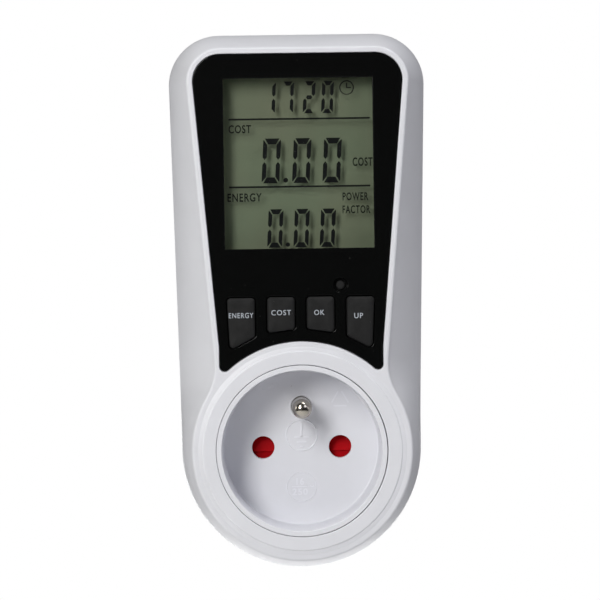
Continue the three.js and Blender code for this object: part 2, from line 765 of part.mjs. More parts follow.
const SHUTTER_HALF_WIDTH = 13.4;
const SHUTTER_LOW_Z = -3.6;
const SHUTTER_TOP_Z = 10.2;
const SHUTTER_GAP_HALF = 5.4;
const SHUTTER_BRIDGE_Z = -0.6;
const SHUTTER_HOLE_RADIUS = 2.9;
const SHUTTER_RAMP_Z = -1.1;
const SHUTTER_RAMP_HEIGHT = 4;
const SHUTTER_RAMP_DEPTH = 0.9;

// Two ears joined below: each ear covers a socket hole, and has its own hole one travel above.
function safetyShutter() {
  const outline = mirroredPolygon([
    [0, SHUTTER_LOW_Z],
    [SHUTTER_HALF_WIDTH, SHUTTER_LOW_Z],
    [SHUTTER_HALF_WIDTH, SHUTTER_TOP_Z],
    [SHUTTER_GAP_HALF, SHUTTER_TOP_Z],
    [SHUTTER_GAP_HALF, SHUTTER_BRIDGE_Z],
    [0, SHUTTER_BRIDGE_Z],
  ]);
  const plate = prism(outline, SHUTTER_FRONT_Y, SHUTTER_BACK_Y);
  const rampTopZ = SHUTTER_RAMP_Z + SHUTTER_RAMP_HEIGHT;
  const rampProfile = polygon([
    [SHUTTER_FRONT_Y - OVERCUT, SHUTTER_RAMP_Z],
    [SHUTTER_FRONT_Y, SHUTTER_RAMP_Z],
    [SHUTTER_FRONT_Y + SHUTTER_RAMP_DEPTH, rampTopZ],
    [SHUTTER_FRONT_Y - OVERCUT, rampTopZ],
  ]);
  const rampHalfLength = SHUTTER_HALF_WIDTH + OVERCUT;
  const frontY = SHUTTER_FRONT_Y - OVERCUT;
  const backY = SHUTTER_BACK_Y + OVERCUT;
  return cutAll(plate, [
    acrossX(rampProfile, -rampHalfLength, rampHalfLength),
    ...[-PIN_X, PIN_X].map((x) =>
      bar(SHUTTER_HOLE_RADIUS, frontY, backY, x, SHUTTER_TRAVEL, PIN_STEPS)),
  ]);
}

// A prism along X, with its outline in Y and Z.
function acrossX(outline, lowX, highX) {
  const geometry = new THREE.ExtrudeGeometry(outline, { depth: highX - lowX, bevelEnabled: false });
  // Turns the outline's first axis to Y, its second to Z and its depth to X.
  geometry.applyMatrix4(new THREE.Matrix4().set(
    0, 0, 1, lowX,
    1, 0, 0, 0,
    0, 1, 0, 0,
    0, 0, 0, 1,
  ));
  return toSolid(geometry);
}

const SPRING_RADIUS = 1.5;
const SPRING_WIRE_RADIUS = 0.25;
const SPRING_TURNS = 6;
const SPRING_LENGTH = 10;
const SPRING_WIRE_SIDES = 5;
const SPRING_STEPS_PER_TURN = 8;
const SPRING_TOP_Z = SHUTTER_LOW_Z - GAP - SPRING_WIRE_RADIUS;
const SPRING_BOTTOM_Z = SPRING_TOP_Z - SPRING_LENGTH;
const SPRING_Y = SHUTTER_FRONT_Y + 1.9;

class HelixCurve extends THREE.Curve {
  getPoint(t, target = new THREE.Vector3()) {
    const angle = t * SPRING_TURNS * 2 * Math.PI;
    return target.set(
      SPRING_RADIUS * Math.cos(angle),
      SPRING_Y + SPRING_RADIUS * Math.sin(angle),
      THREE.MathUtils.lerp(SPRING_BOTTOM_Z, SPRING_TOP_Z, t),
    );
  }
}

function circleShape(radius, sides) {
  return new THREE.Shape(arcPoints(0, 0, radius, 0, 2 * Math.PI, sides).slice(0, -1));
}

function tubeAlong(curve, radius, sides, steps) {
  return toSolid(new THREE.ExtrudeGeometry(circleShape(radius, sides), { steps, extrudePath: curve }));
}

function shutterSpring() {
  const steps = SPRING_TURNS * SPRING_STEPS_PER_TURN;
  return tubeAlong(new HelixCurve(), SPRING_WIRE_RADIUS, SPRING_WIRE_SIDES, steps);
}

const CARRIER_RADIUS = 19.8;
const CONTACT_POCKET_HALF = 3.6;

function contactCarrier() {
  const trackBackY = SHUTTER_BACK_Y + GAP;
  const trackHalf = SHUTTER_HALF_WIDTH + GAP;
  const trackLowZ = SHUTTER_LOW_Z - SHUTTER_TRAVEL - GAP;
  const trackTopZ = SHUTTER_TOP_Z + GAP;
  const channelHalf = SPRING_RADIUS + SPRING_WIRE_RADIUS + GAP;
  const frontY = CARRIER_FRONT_Y - OVERCUT;
  const backY = CARRIER_BACK_Y + OVERCUT;
  return cutAll(bar(CARRIER_RADIUS, CARRIER_FRONT_Y, CARRIER_BACK_Y, 0, 0, ROUND_STEPS), [
    block(-trackHalf, trackHalf, frontY, trackBackY, trackLowZ, trackTopZ),
    block(
      -channelHalf,
      channelHalf,
      frontY,
      SPRING_Y + channelHalf,
      SPRING_BOTTOM_Z - SPRING_WIRE_RADIUS - GAP,
      SHUTTER_LOW_Z,
    ),
    ...[-PIN_X, PIN_X].map((x) =>
      block(
        x - CONTACT_POCKET_HALF,
        x + CONTACT_POCKET_HALF,
        trackBackY - OVERCUT,
        backY,
        -CONTACT_POCKET_HALF,
        CONTACT_POCKET_HALF,
      )),
    bar(EARTH_FLANGE_RADIUS + GAP, frontY, trackBackY, 0, EARTH_Z, PIN_STEPS),
    bar(EARTH_TAIL_RADIUS + GAP, CARRIER_FRONT_Y, backY, 0, EARTH_Z),
  ]);
}

// ---------------------------------------------------------------- live and neutral

const LEAF_INSIDE = 2;
const LEAF_OUTSIDE = LEAF_INSIDE + STRIP_THICKNESS;
const LEAF_HALF_HEIGHT = 2.5;

// A forked contact: two leaves along Y, joined at the back. Its outline is in X and Y.
function forkContact(x) {
  const frontY = SHUTTER_BACK_Y + 2 * GAP;
  const bridgeY = CONTACT_BACK_Y - STRIP_THICKNESS;
  const fork = mirroredPolygon([
    [0, CONTACT_BACK_Y],
    [LEAF_OUTSIDE, CONTACT_BACK_Y],
    [LEAF_OUTSIDE, frontY],
    [LEAF_INSIDE, frontY],
    [LEAF_INSIDE, bridgeY],
    [0, bridgeY],
  ]);
  const depth = 2 * LEAF_HALF_HEIGHT;
  const geometry = new THREE.ExtrudeGeometry(fork, { depth, bevelEnabled: false });
  geometry.translate(x, 0, -LEAF_HALF_HEIGHT);
  return toSolid(geometry);
}

const SHUNT_HALF_WIDTH = 2;
const SHUNT_FRONT_Y = CONTACT_BACK_Y + GAP;
const SHUNT_BACK_Y = SHUNT_FRONT_Y + 3.6;
const SHUNT_TOP_Z = 8;
const SHUNT_LOW_Z = -3;

// A bent strip of resistance metal, between the live contact and the live pin.
function currentShunt() {
  const outline = polygon([
    [SHUNT_FRONT_Y, SHUNT_LOW_Z],
    [SHUNT_FRONT_Y + STRIP_THICKNESS, SHUNT_LOW_Z],
    [SHUNT_FRONT_Y + STRIP_THICKNESS, SHUNT_TOP_Z - STRIP_THICKNESS],
    [SHUNT_BACK_Y - STRIP_THICKNESS, SHUNT_TOP_Z - STRIP_THICKNESS],
    [SHUNT_BACK_Y - STRIP_THICKNESS, SHUNT_LOW_Z],
    [SHUNT_BACK_Y, SHUNT_LOW_Z],
    [SHUNT_BACK_Y, SHUNT_TOP_Z],
    [SHUNT_FRONT_Y, SHUNT_TOP_Z],
  ]);
  return acrossX(outline, -PIN_X - SHUNT_HALF_WIDTH, -PIN_X + SHUNT_HALF_WIDTH);
}

const PIN_TAIL_RADIUS = 1.8;
const PIN_FLANGE_RADIUS = 3.4;
const PIN_FLANGE_THICKNESS = 1.3;

// The rounded tip of a plug pin, as steps of radius over the pin's radius and distance from the tip
const PIN_TIP = [[1, 1.8], [0.85, 0.7], [0.5, 0.1], [0, 0]];

// A plug pin with a rounded tip, a flange inside the plug's face and a thinner tail.
function plugPin(x, tailY) {
  const tipY = PLUG_FACE_Y + PIN_LENGTH;
  const flangeBackY = PLUG_FACE_Y - PLUG_FACE_THICKNESS - GAP;
  const flangeFrontY = flangeBackY - PIN_FLANGE_THICKNESS;
  return turned([
    [0, tailY],
    [PIN_TAIL_RADIUS, tailY],
    [PIN_TAIL_RADIUS, flangeFrontY],
    [PIN_FLANGE_RADIUS, flangeFrontY],
    [PIN_FLANGE_RADIUS, flangeBackY],
    [PIN_RADIUS, flangeBackY],
    ...PIN_TIP.map(([share, distance]) => [PIN_RADIUS * share, tipY - distance]),
  ], x, 0, PIN_STEPS);
}

const WIRE_RADIUS = 0.8;
const WIRE_SIDES = 6;
const WIRE_STEPS = 18;
const WIRE_BOARD_Z = 27.5;

function wire(points) {
  const curve = new THREE.CatmullRomCurve3(points.map(([x, y, z]) => new THREE.Vector3(x, y, z)));
  return tubeAlong(curve, WIRE_RADIUS, WIRE_SIDES, WIRE_STEPS);
}

// Each sense wire runs up from the contacts and forward to the lower edge of the board.
function senseWire(x, startY, startZ, boardX) {
  return wire([
    [x, startY, startZ],
    [x, startY, startZ + 6],
    [(x + boardX) / 2, startY - 2, 24],
    [boardX, startY - 9, WIRE_BOARD_Z],
    [boardX, PART_FRONT_Y + GAP, WIRE_BOARD_Z],
  ]);
}

// ---------------------------------------------------------------- earth

const EARTH_FLANGE_RADIUS = 3.4;
const EARTH_FLANGE_THICKNESS = 1.2;
const EARTH_TAIL_RADIUS = 1.6;
const EARTH_STRIP_HALF_WIDTH = 2.5;
const EARTH_CLIP_OUTSIDE_Z = 19.1;

// The socket's earth pin: a rounded tip, a flange behind the floor and a thin tail.
function earthPin() {
  const tipY = WELL_FLOOR_Y - EARTH_PIN_LENGTH;
  const flangeFrontY = CARRIER_FRONT_Y;
  const flangeBackY = flangeFrontY + EARTH_FLANGE_THICKNESS;
  const tailY = EARTH_BAR_Y + STRIP_THICKNESS + GAP;
  const dome = [90, 70, 50, 30, 10].map((degrees) => {
    const angle = THREE.MathUtils.degToRad(degrees);
    const y = tipY + PIN_RADIUS * (1 - Math.sin(angle));
    return [degrees === 90 ? 0 : PIN_RADIUS * Math.cos(angle), y];
  });
  return turned([
    ...dome,
    [PIN_RADIUS, tipY + PIN_RADIUS],
    [PIN_RADIUS, flangeFrontY],
    [EARTH_FLANGE_RADIUS, flangeFrontY],
    [EARTH_FLANGE_RADIUS, flangeBackY],
    [EARTH_TAIL_RADIUS, flangeBackY],
    [EARTH_TAIL_RADIUS, tailY],
    [0, tailY],
  ], 0, EARTH_Z, PIN_STEPS);
}

// A U of sprung strip: a bar across the inside, and a side contact along the top and the bottom.
function earthBracket() {
  const insideZ = EARTH_CLIP_OUTSIDE_Z - STRIP_THICKNESS;
  const tipY = PLUG_FACE_Y - 2.5;
  const outline = polygon([
    [EARTH_BAR_Y, -EARTH_CLIP_OUTSIDE_Z],
    [tipY, -EARTH_CLIP_OUTSIDE_Z],
    [tipY, -insideZ],
    [EARTH_BAR_Y + STRIP_THICKNESS, -insideZ],
    [EARTH_BAR_Y + STRIP_THICKNESS, insideZ],
    [tipY, insideZ],
    [tipY, EARTH_CLIP_OUTSIDE_Z],
    [EARTH_BAR_Y, EARTH_CLIP_OUTSIDE_Z],
  ]);
  return acrossX(outline, -EARTH_STRIP_HALF_WIDTH, EARTH_STRIP_HALF_WIDTH).subtract(
    bar(EARTH_TAIL_RADIUS + GAP, EARTH_BAR_Y - OVERCUT, EARTH_BAR_Y + 2 * OVERCUT, 0, EARTH_Z),
  );
}

const EARTH_TUBE_RADIUS = 3.3;
const EARTH_TUBE_FRONT_Y = -20.6;
const EARTH_TUBE_END = 1;
const EARTH_TUBE_PLAY = 0.15;

// The sleeve that takes the wall socket's earth pin, closed at the front.
function earthTube() {
  const bore = PIN_RADIUS + EARTH_TUBE_PLAY;
  const mouthY = PLUG_FACE_Y - 1;
  const endY = EARTH_TUBE_FRONT_Y + EARTH_TUBE_END;
  return turned([
    [0, EARTH_TUBE_FRONT_Y],
    [EARTH_TUBE_RADIUS, EARTH_TUBE_FRONT_Y],
    [EARTH_TUBE_RADIUS, mouthY],
    [bore, mouthY],
    [bore, endY],
    [0, endY],
  ], 0, EARTH_Z, PIN_STEPS);
}

// ---------------------------------------------------------------- the plug

const FLANGE_RADIUS = 21.5;
const FLANGE_BACK_Y = REAR_INSIDE_Y - GAP;
const FLANGE_FRONT_Y = FLANGE_BACK_Y - 1.7;
const SIDE_NOTCH_DEPTH = 2.4;
const SIDE_NOTCH_HALF = 2.7;
const PLUG_EDGE = 1;
const GROOVE_END_Y = PLUG_FACE_Y - 2;

// Two blocks that mirror each other at the sides, between two distances from the middle.
function sideBlocks(nearX, farX, frontY, backY, halfHeight) {
  return [
    block(-farX, -nearX, frontY, backY, -halfHeight, halfHeight),
    block(nearX, farX, frontY, backY, -halfHeight, halfHeight),
  ];
}

// A round boss with a flange inside the case, guide notches at its sides and earth grooves above
// and below.
function plugInsert() {
  const hollowRadius = PLUG_RADIUS - PLUG_WALL;
  const body = turned([
    [hollowRadius, FLANGE_FRONT_Y],
    [FLANGE_RADIUS, FLANGE_FRONT_Y],
    [FLANGE_RADIUS, FLANGE_BACK_Y],
    [PLUG_RADIUS, FLANGE_BACK_Y],
    [PLUG_RADIUS, PLUG_FACE_Y - PLUG_EDGE],
    [PLUG_RADIUS - PLUG_EDGE, PLUG_FACE_Y],
    [0, PLUG_FACE_Y],
    [0, PLUG_FACE_Y - PLUG_FACE_THICKNESS],
    [hollowRadius, PLUG_FACE_Y - PLUG_FACE_THICKNESS],
  ]);
  const ribs = sideBlocks(
    PLUG_RADIUS - SIDE_NOTCH_DEPTH - PLUG_WALL,
    PLUG_RADIUS - PLUG_WALL / 4,
    REAR_FACE_Y - OVERCUT,
    PLUG_FACE_Y - PLUG_EDGE,
    SIDE_NOTCH_HALF + PLUG_WALL,
  );
  const notches = sideBlocks(
    PLUG_RADIUS - SIDE_NOTCH_DEPTH,
    PLUG_RADIUS + OVERCUT,
    REAR_FACE_Y + GAP,
    PLUG_FACE_Y + OVERCUT,
    SIDE_NOTCH_HALF,
  );
  const grooveHalf = EARTH_STRIP_HALF_WIDTH + GAP;
  const grooveFloor = EARTH_CLIP_OUTSIDE_Z - STRIP_THICKNESS - GAP;
  const outside = FLANGE_RADIUS + OVERCUT;
  const grooves = [[-outside, -grooveFloor], [grooveFloor, outside]].map(([lowZ, highZ]) =>
    block(-grooveHalf, grooveHalf, FLANGE_FRONT_Y - OVERCUT, GROOVE_END_Y, lowZ, highZ));
  const faceFrontY = PLUG_FACE_Y - PLUG_FACE_THICKNESS - OVERCUT;
  const holes = [
    [PIN_RADIUS + GAP, -PIN_X, 0],
    [PIN_RADIUS + GAP, PIN_X, 0],
    [EARTH_TUBE_RADIUS + GAP, 0, EARTH_Z],
  ].map(([radius, x, z]) => bar(radius, faceFrontY, PLUG_FACE_Y + OVERCUT, x, z, PIN_STEPS));
  const bossRooms = screwPlaces().map(([x, z]) =>
    bar(REAR_BOSS_RADIUS + GAP, FLANGE_FRONT_Y - OVERCUT, FLANGE_BACK_Y + SLIVER, x, z));
  return cutAll(joinAll([body, ...ribs]), [...notches, ...grooves, ...holes, ...bossRooms]);
}

// ---------------------------------------------------------------- assembly

const FINISHES = {
  whitePlastic: { color: 0xe2e3e8, roughness: 0.45, metalness: 0 },
  socketPlastic: { color: 0xe6e7ea, roughness: 0.4, metalness: 0 },
  blackPlastic: { color: 0x0b0d0e, roughness: 0.25, metalness: 0 },
  clearPane: { color: 0xe8eee8, roughness: 0.05, metalness: 0, transparent: true, opacity: 0.3 },
  lcd: { color: 0x7d8a6c, roughness: 0.25, metalness: 0 },
  innerPlastic: { color: 0xcfd2d2, roughness: 0.6, metalness: 0 },
  keyRubber: { color: 0x2b2c2e, roughness: 0.75, metalness: 0 },
  boardGreen: { color: 0x1e5a37, roughness: 0.5, metalness: 0 },
  chipBlack: { color: 0x1b1b1d, roughness: 0.6, metalness: 0 },
  silverCan: { color: 0xb9bcc0, roughness: 0.3, metalness: 1 },
  capacitorYellow: { color: 0xd8b23a, roughness: 0.5, metalness: 0 },
  capacitorSleeve: { color: 0x26304a, roughness: 0.5, metalness: 0 },
  resistorBody: { color: 0x7a8a63, roughness: 0.6, metalness: 0 },
  cellSleeve: { color: 0x2f6b3e, roughness: 0.5, metalness: 0 },
  shutterRed: { color: 0x9c1220, roughness: 0.5, metalness: 0 },
  springSteel: { color: 0xa8a9ab, roughness: 0.3, metalness: 1 },
  brass: { color: 0xb08d4a, roughness: 0.3, metalness: 1 },
  nickel: { color: 0xc9c5bb, roughness: 0.2, metalness: 1 },
  shuntMetal: { color: 0x9d7f62, roughness: 0.4, metalness: 1 },
  redWire: { color: 0xa3232a, roughness: 0.5, metalness: 0 },
  blackWire: { color: 0x202124, roughness: 0.5, metalness: 0 },
  blueWire: { color: 0x2a4a8c, roughness: 0.5, metalness: 0 },
  screwSteel: { color: 0x8d8f93, roughness: 0.35, metalness: 1 },
};

function piece(name, solid, finish) {
  const mesh = new THREE.Mesh(toGeometry(solid), new THREE.MeshStandardMaterial(FINISHES[finish]));
  mesh.name = name;
  return mesh;
}

function group(...meshes) {
  const whole = new THREE.Group();
  whole.add(...meshes);
  return whole;
}

function caseGroup() {
  const screws = screwPlaces().map(([x, z], i) => {
    const screw = piece(`case_screw_${i + 1}`, caseScrew(), 'screwSteel');
    screw.position.set(x, 0, z);
    return screw;
  });
  return group(
    piece('front_shell', frontShell(), 'whitePlastic'),
    piece('rear_shell', rearShell(), 'whitePlastic'),
    ...screws,
  );
}

function displayGroup() {
  return group(
    piece('display_bezel', displayBezel(), 'blackPlastic'),
    piece('display_window', displayWindow(), 'clearPane'),
    piece('lcd_panel', lcdPanel(), 'lcd'),
    piece('lcd_holder', lcdHolder(), 'innerPlastic'),
    piece('zebra_strip_lower', zebraStrip(ZEBRA_Z[0]), 'keyRubber'),
    piece('zebra_strip_upper', zebraStrip(ZEBRA_Z[1]), 'keyRubber'),
  );
}

function keypadGroup() {
  const keys = Object.entries(KEYS).map(([name, outline]) =>
    piece(name, keyCap(outline), 'keyRubber'));
  return group(
    piece('keypad_mat', keypadMat(), 'keyRubber'),
    ...keys,
    piece('reset_key', resetKey(), 'keyRubber'),
  );
}

function boardGroup() {
  return group(
    piece('main_board', mainBoard(), 'boardGreen'),
    piece('controller_chip', controllerChip(), 'chipBlack'),
    piece('crystal', roundedBlock(CRYSTAL), 'silverCan'),
    piece('film_capacitor', roundedBlock(FILM_CAPACITOR), 'capacitorYellow'),
    piece('smoothing_capacitor', smoothingCapacitor(), 'capacitorSleeve'),
    piece('fusible_resistor', crossBar(FUSIBLE_RESISTOR), 'resistorBody'),
    piece('backup_cells', crossBar(BACKUP_CELLS), 'cellSleeve'),
  );
}

function socketGroup() {
  return group(
    piece('socket_cup', socketCup(), 'socketPlastic'),
    piece('safety_shutter', safetyShutter(), 'shutterRed'),
    piece('shutter_spring', shutterSpring(), 'springSteel'),
    piece('contact_carrier', contactCarrier(), 'innerPlastic'),
    piece('live_contact', forkContact(-PIN_X), 'brass'),
    piece('neutral_contact', forkContact(PIN_X), 'brass'),
    piece('earth_pin', earthPin(), 'nickel'),
  );
}

function plugGroup() {
  const neutralTailY = CONTACT_BACK_Y + GAP;
  const liveTailY = SHUNT_BACK_Y + GAP;
  return group(
    piece('plug_insert', plugInsert(), 'whitePlastic'),
    piece('live_plug_pin', plugPin(-PIN_X, liveTailY), 'nickel'),
    piece('neutral_plug_pin', plugPin(PIN_X, neutralTailY), 'nickel'),
    piece('earth_bracket', earthBracket(), 'nickel'),
    piece('earth_tube', earthTube(), 'nickel'),
    piece('current_shunt', currentShunt(), 'shuntMetal'),
  );
}

function wireGroup() {
  const wireStartZ = SHUNT_TOP_Z + GAP;
  const stripMiddle = STRIP_THICKNESS / 2;
  const contactTopZ = LEAF_HALF_HEIGHT + GAP;
  const live = senseWire(-PIN_X, SHUNT_FRONT_Y + stripMiddle, wireStartZ, -14);
  const shunt = senseWire(-PIN_X + 2, SHUNT_BACK_Y - stripMiddle, wireStartZ, -11);
  const neutral = senseWire(PIN_X, CONTACT_BACK_Y - stripMiddle, contactTopZ, 12);
  return group(
    piece('live_wire', live, 'redWire'),
    piece('shunt_wire', shunt, 'blackWire'),
    piece('neutral_wire', neutral, 'blueWire'),
  );
}

const powerMeter = group(
  caseGroup(),
  displayGroup(),
  keypadGroup(),
  boardGroup(),
  socketGroup(),
  plugGroup(),
  wireGroup(),
);

export default powerMeter;
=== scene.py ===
"""Looks of the plug-in power meter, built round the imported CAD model. Metres, +Z up, front faces -Y."""
import math

import bpy
import bmesh
from mathutils import Matrix, Vector
from mathutils.geometry import tessellate_polygon


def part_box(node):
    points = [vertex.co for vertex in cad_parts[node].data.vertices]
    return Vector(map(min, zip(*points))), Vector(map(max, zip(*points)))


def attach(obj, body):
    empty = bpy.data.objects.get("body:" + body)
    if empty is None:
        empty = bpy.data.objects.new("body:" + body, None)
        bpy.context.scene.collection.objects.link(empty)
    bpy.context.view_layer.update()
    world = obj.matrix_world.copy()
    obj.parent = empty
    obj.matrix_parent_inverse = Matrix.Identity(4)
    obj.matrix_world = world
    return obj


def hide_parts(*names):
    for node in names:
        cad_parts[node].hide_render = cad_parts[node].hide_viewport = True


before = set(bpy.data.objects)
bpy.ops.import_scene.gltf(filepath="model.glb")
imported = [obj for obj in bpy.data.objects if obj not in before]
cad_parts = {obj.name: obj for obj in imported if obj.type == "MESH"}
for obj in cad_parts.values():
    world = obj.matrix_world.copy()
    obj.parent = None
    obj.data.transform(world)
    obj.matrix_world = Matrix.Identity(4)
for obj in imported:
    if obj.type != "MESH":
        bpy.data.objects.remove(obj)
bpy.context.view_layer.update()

MM = 0.001

# ------------------------------------------------------------------ places, from the frame

FRONT_LOW, FRONT_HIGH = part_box("front_shell")
REAR_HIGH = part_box("rear_shell")[1]
BEZEL_LOW, BEZEL_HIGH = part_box("display_bezel")
PANE_LOW, PANE_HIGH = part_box("display_window")
LCD_LOW, LCD_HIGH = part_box("lcd_panel")
CUP_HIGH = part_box("socket_cup")[1]
PLUG_LOW, PLUG_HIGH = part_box("plug_insert")
BRACKET_LOW, BRACKET_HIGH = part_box("earth_bracket")
TUBE_LOW, TUBE_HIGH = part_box("earth_tube")

RING_Y = FRONT_LOW.y
PLATEAU_Y = RING_Y + 0.6 * MM
PARTING_Y = FRONT_HIGH.y
REAR_FRONT_Y = PARTING_Y + 0.3 * MM
REAR_FACE_Y = REAR_HIGH.y
FRONT_INSIDE_Y = PLATEAU_Y + 2.8 * MM
POCKET_Y = BEZEL_HIGH.y + 0.3 * MM
SIDE_WALL = 2 * MM

# ------------------------------------------------------------------ sizes of the outlines

CASE_RADIUS = -FRONT_LOW.z
CASE_TOP_Z = FRONT_HIGH.z
CASE_CORNER_RADIUS = 12.5 * MM
CASE_TAPER = 0.0235
PANEL_HALF_WIDTH = 25.07 * MM
PANEL_WIDTH_Z = 87 * MM
PANEL_TAPER = 0.0865
PANEL_TOP_Z = BEZEL_HIGH.z
PANEL_CORNER_RADIUS = 6.6 * MM
PANEL_ARC_RADIUS = 26.55 * MM
PANEL_TIP_RADIUS = 1.2 * MM
PANEL_SIDE_X = 19.72 * MM
PANEL_SIDE_TOP_Z = 25.2 * MM
BORDER_WIDTH = 1.85 * MM
BORDER_CORNER_RADIUS = 8.5 * MM
BORDER_SOCKET_RADIUS = 26.9 * MM
NECK_RADIUS = 15 * MM

WINDOW_HALF_WIDTH = 18.05 * MM
WINDOW_BOTTOM_Z = 48.9 * MM
WINDOW_TOP_Z = 90.1 * MM

RING_INNER_RADIUS = 20.82 * MM
MOUTH_SHIFT = -0.12 * MM
RING_OUTER_RADIUS = 23.8 * MM
RING_STEP_RADIUS = 25.25 * MM
SOCKET_STEPS = 160
SKIRT_RADIUS = 22.7 * MM
SKIRT_BACK_Y = FRONT_INSIDE_Y + 8 * MM

CUP_RADIUS = CUP_HIGH.x + 0.07 * MM
CUP_SHIFT = -0.18 * MM
WELL_RADIUS = 19.45 * MM
WELL_FLOOR_RADIUS = 19.2 * MM
WELL_FLOOR_Y = RING_Y + 15 * MM
PIN_X = 9.5 * MM
PIN_RADIUS = 2.4 * MM
EARTH_Z = 10 * MM
SOCKET_HOLE_RADIUS = 2.78 * MM
EARTH_HOLE_RADIUS = 2.5 * MM

PLUG_RADIUS = 19.25 * MM
FLANGE_RADIUS = 21.5 * MM

RESET_X = 9.7 * MM
RESET_Z = 39.95 * MM

SCREWS = [f"case_screw_{i}" for i in (1, 2, 3, 4)]
SCREW_SEAT_Y = -26.5 * MM
SCREW_WELL_RADIUS = 2.4 * MM

# ------------------------------------------------------------------ camera, lights and floor

# The camera stands a little left of the socket's axis and below the display, and looks slightly
# right and down, with a small roll.
CAMERA_DISTANCE = 650 * MM
CAMERA_X = -10.4 * MM
CAMERA_Z = 43.6 * MM
CAMERA_YAW = math.radians(-0.904)
CAMERA_PITCH = math.radians(-0.63)
CAMERA_ROLL = math.radians(-0.83)
# Focal length and sensor width in millimetres.
CAMERA_LENS = 161.7
CAMERA_SENSOR = 36
CAMERA_CLIP_START = 10 * MM


def add_camera():
    data = bpy.data.cameras.new("camera")
    data.lens = CAMERA_LENS
    data.sensor_width = CAMERA_SENSOR
    data.clip_start = CAMERA_CLIP_START
    camera = bpy.data.objects.new("camera", data)
    bpy.context.scene.collection.objects.link(camera)
    turn = (
        Matrix.Rotation(CAMERA_YAW, 4, "Z")
        @ Matrix.Rotation(math.pi / 2 + CAMERA_PITCH, 4, "X")
        @ Matrix.Rotation(CAMERA_ROLL, 4, "Z")
    )
    camera.matrix_world = Matrix.Translation((CAMERA_X, RING_Y - CAMERA_DISTANCE, CAMERA_Z)) @ turn
    bpy.context.scene.camera = camera


# Soft boxes round the object: degrees to the right of straight ahead, degrees up, distance and width
# in millimetres, watts and colour.
STUDIO_LIGHTS = {
    "key_low": (-25, 15, 1200, 350, 4.75, (1.0, 0.99, 0.965)),
    "key_high": (-25, 30, 1200, 350, 3.95, (1.0, 1.0, 0.975)),
    "top": (60, 70, 1200, 500, 5.95, (1.0, 1.0, 0.99)),
    "left_rim": (-85, 10, 1200, 500, 2.55, (1.0, 1.0, 0.97)),
    "right_fill": (45, 30, 1200, 500, 1.75, (0.9, 0.91, 1.0)),
    "right_rim": (80, 10, 1200, 500, 0.9, (0.98, 0.96, 1.0)),
    "below": (0, -137, 280, 200, 0.17, (1.0, 1.0, 1.0)),
    "behind": (180, -4, 1200, 400, 5.5, (1.0, 1.0, 1.0)),
}
# The point that every light faces.
LIT_POINT = Vector((0, RING_Y / 2, CASE_TOP_Z / 3))
AMBIENT = 0.015
FLOOR_RADIUS = 900 * MM
FLOOR_Z = -300 * MM


def add_light(name, right, up, distance, width, power, colour):
    right, up = math.radians(right), math.radians(up)
    outward = Vector((math.sin(right) * math.cos(up), -math.cos(right) * math.cos(up), math.sin(up)))
    data = bpy.data.lights.new(name, "AREA")
    data.size = width * MM
    data.energy = power
    data.color = colour
    light = bpy.data.objects.new(name, data)
    light.location = LIT_POINT + outward * distance * MM
    light.rotation_mode = "QUATERNION"
    light.rotation_quaternion = (-outward).to_track_quat("-Z", "Y")
    light.visible_camera = False
    bpy.context.scene.collection.objects.link(light)


def add_world():
    """A white backdrop to the camera, and a dim white light on the object."""
    world = bpy.data.worlds.new("studio")
    bpy.context.scene.world = world
    world.use_nodes = True
    nodes, links = world.node_tree.nodes, world.node_tree.links
    nodes.clear()
    path = nodes.new("ShaderNodeLightPath")
    mix = nodes.new("ShaderNodeMixShader")
    out = nodes.new("ShaderNodeOutputWorld")
    links.new(path.outputs["Is Camera Ray"], mix.inputs["Fac"])
    for i, strength in enumerate((AMBIENT, 1.0)):
        back = nodes.new("ShaderNodeBackground")
        back.inputs["Color"].default_value = (1, 1, 1, 1)
        back.inputs["Strength"].default_value = strength
        links.new(back.outputs[0], mix.inputs[1 + i])
    links.new(mix.outputs[0], out.inputs["Surface"])


def add_stage():
    bpy.context.scene.view_settings.view_transform = "Standard"
    add_world()
    for name, settings in STUDIO_LIGHTS.items():
        add_light(name, *settings)
    skin = Skin()
    skin.fill(skin.add([(x, z, FLOOR_Z) for x, z in circle(0, 0, FLOOR_RADIUS)]))
    new_object("floor", skin, floor_material())


# ------------------------------------------------------------------ materials


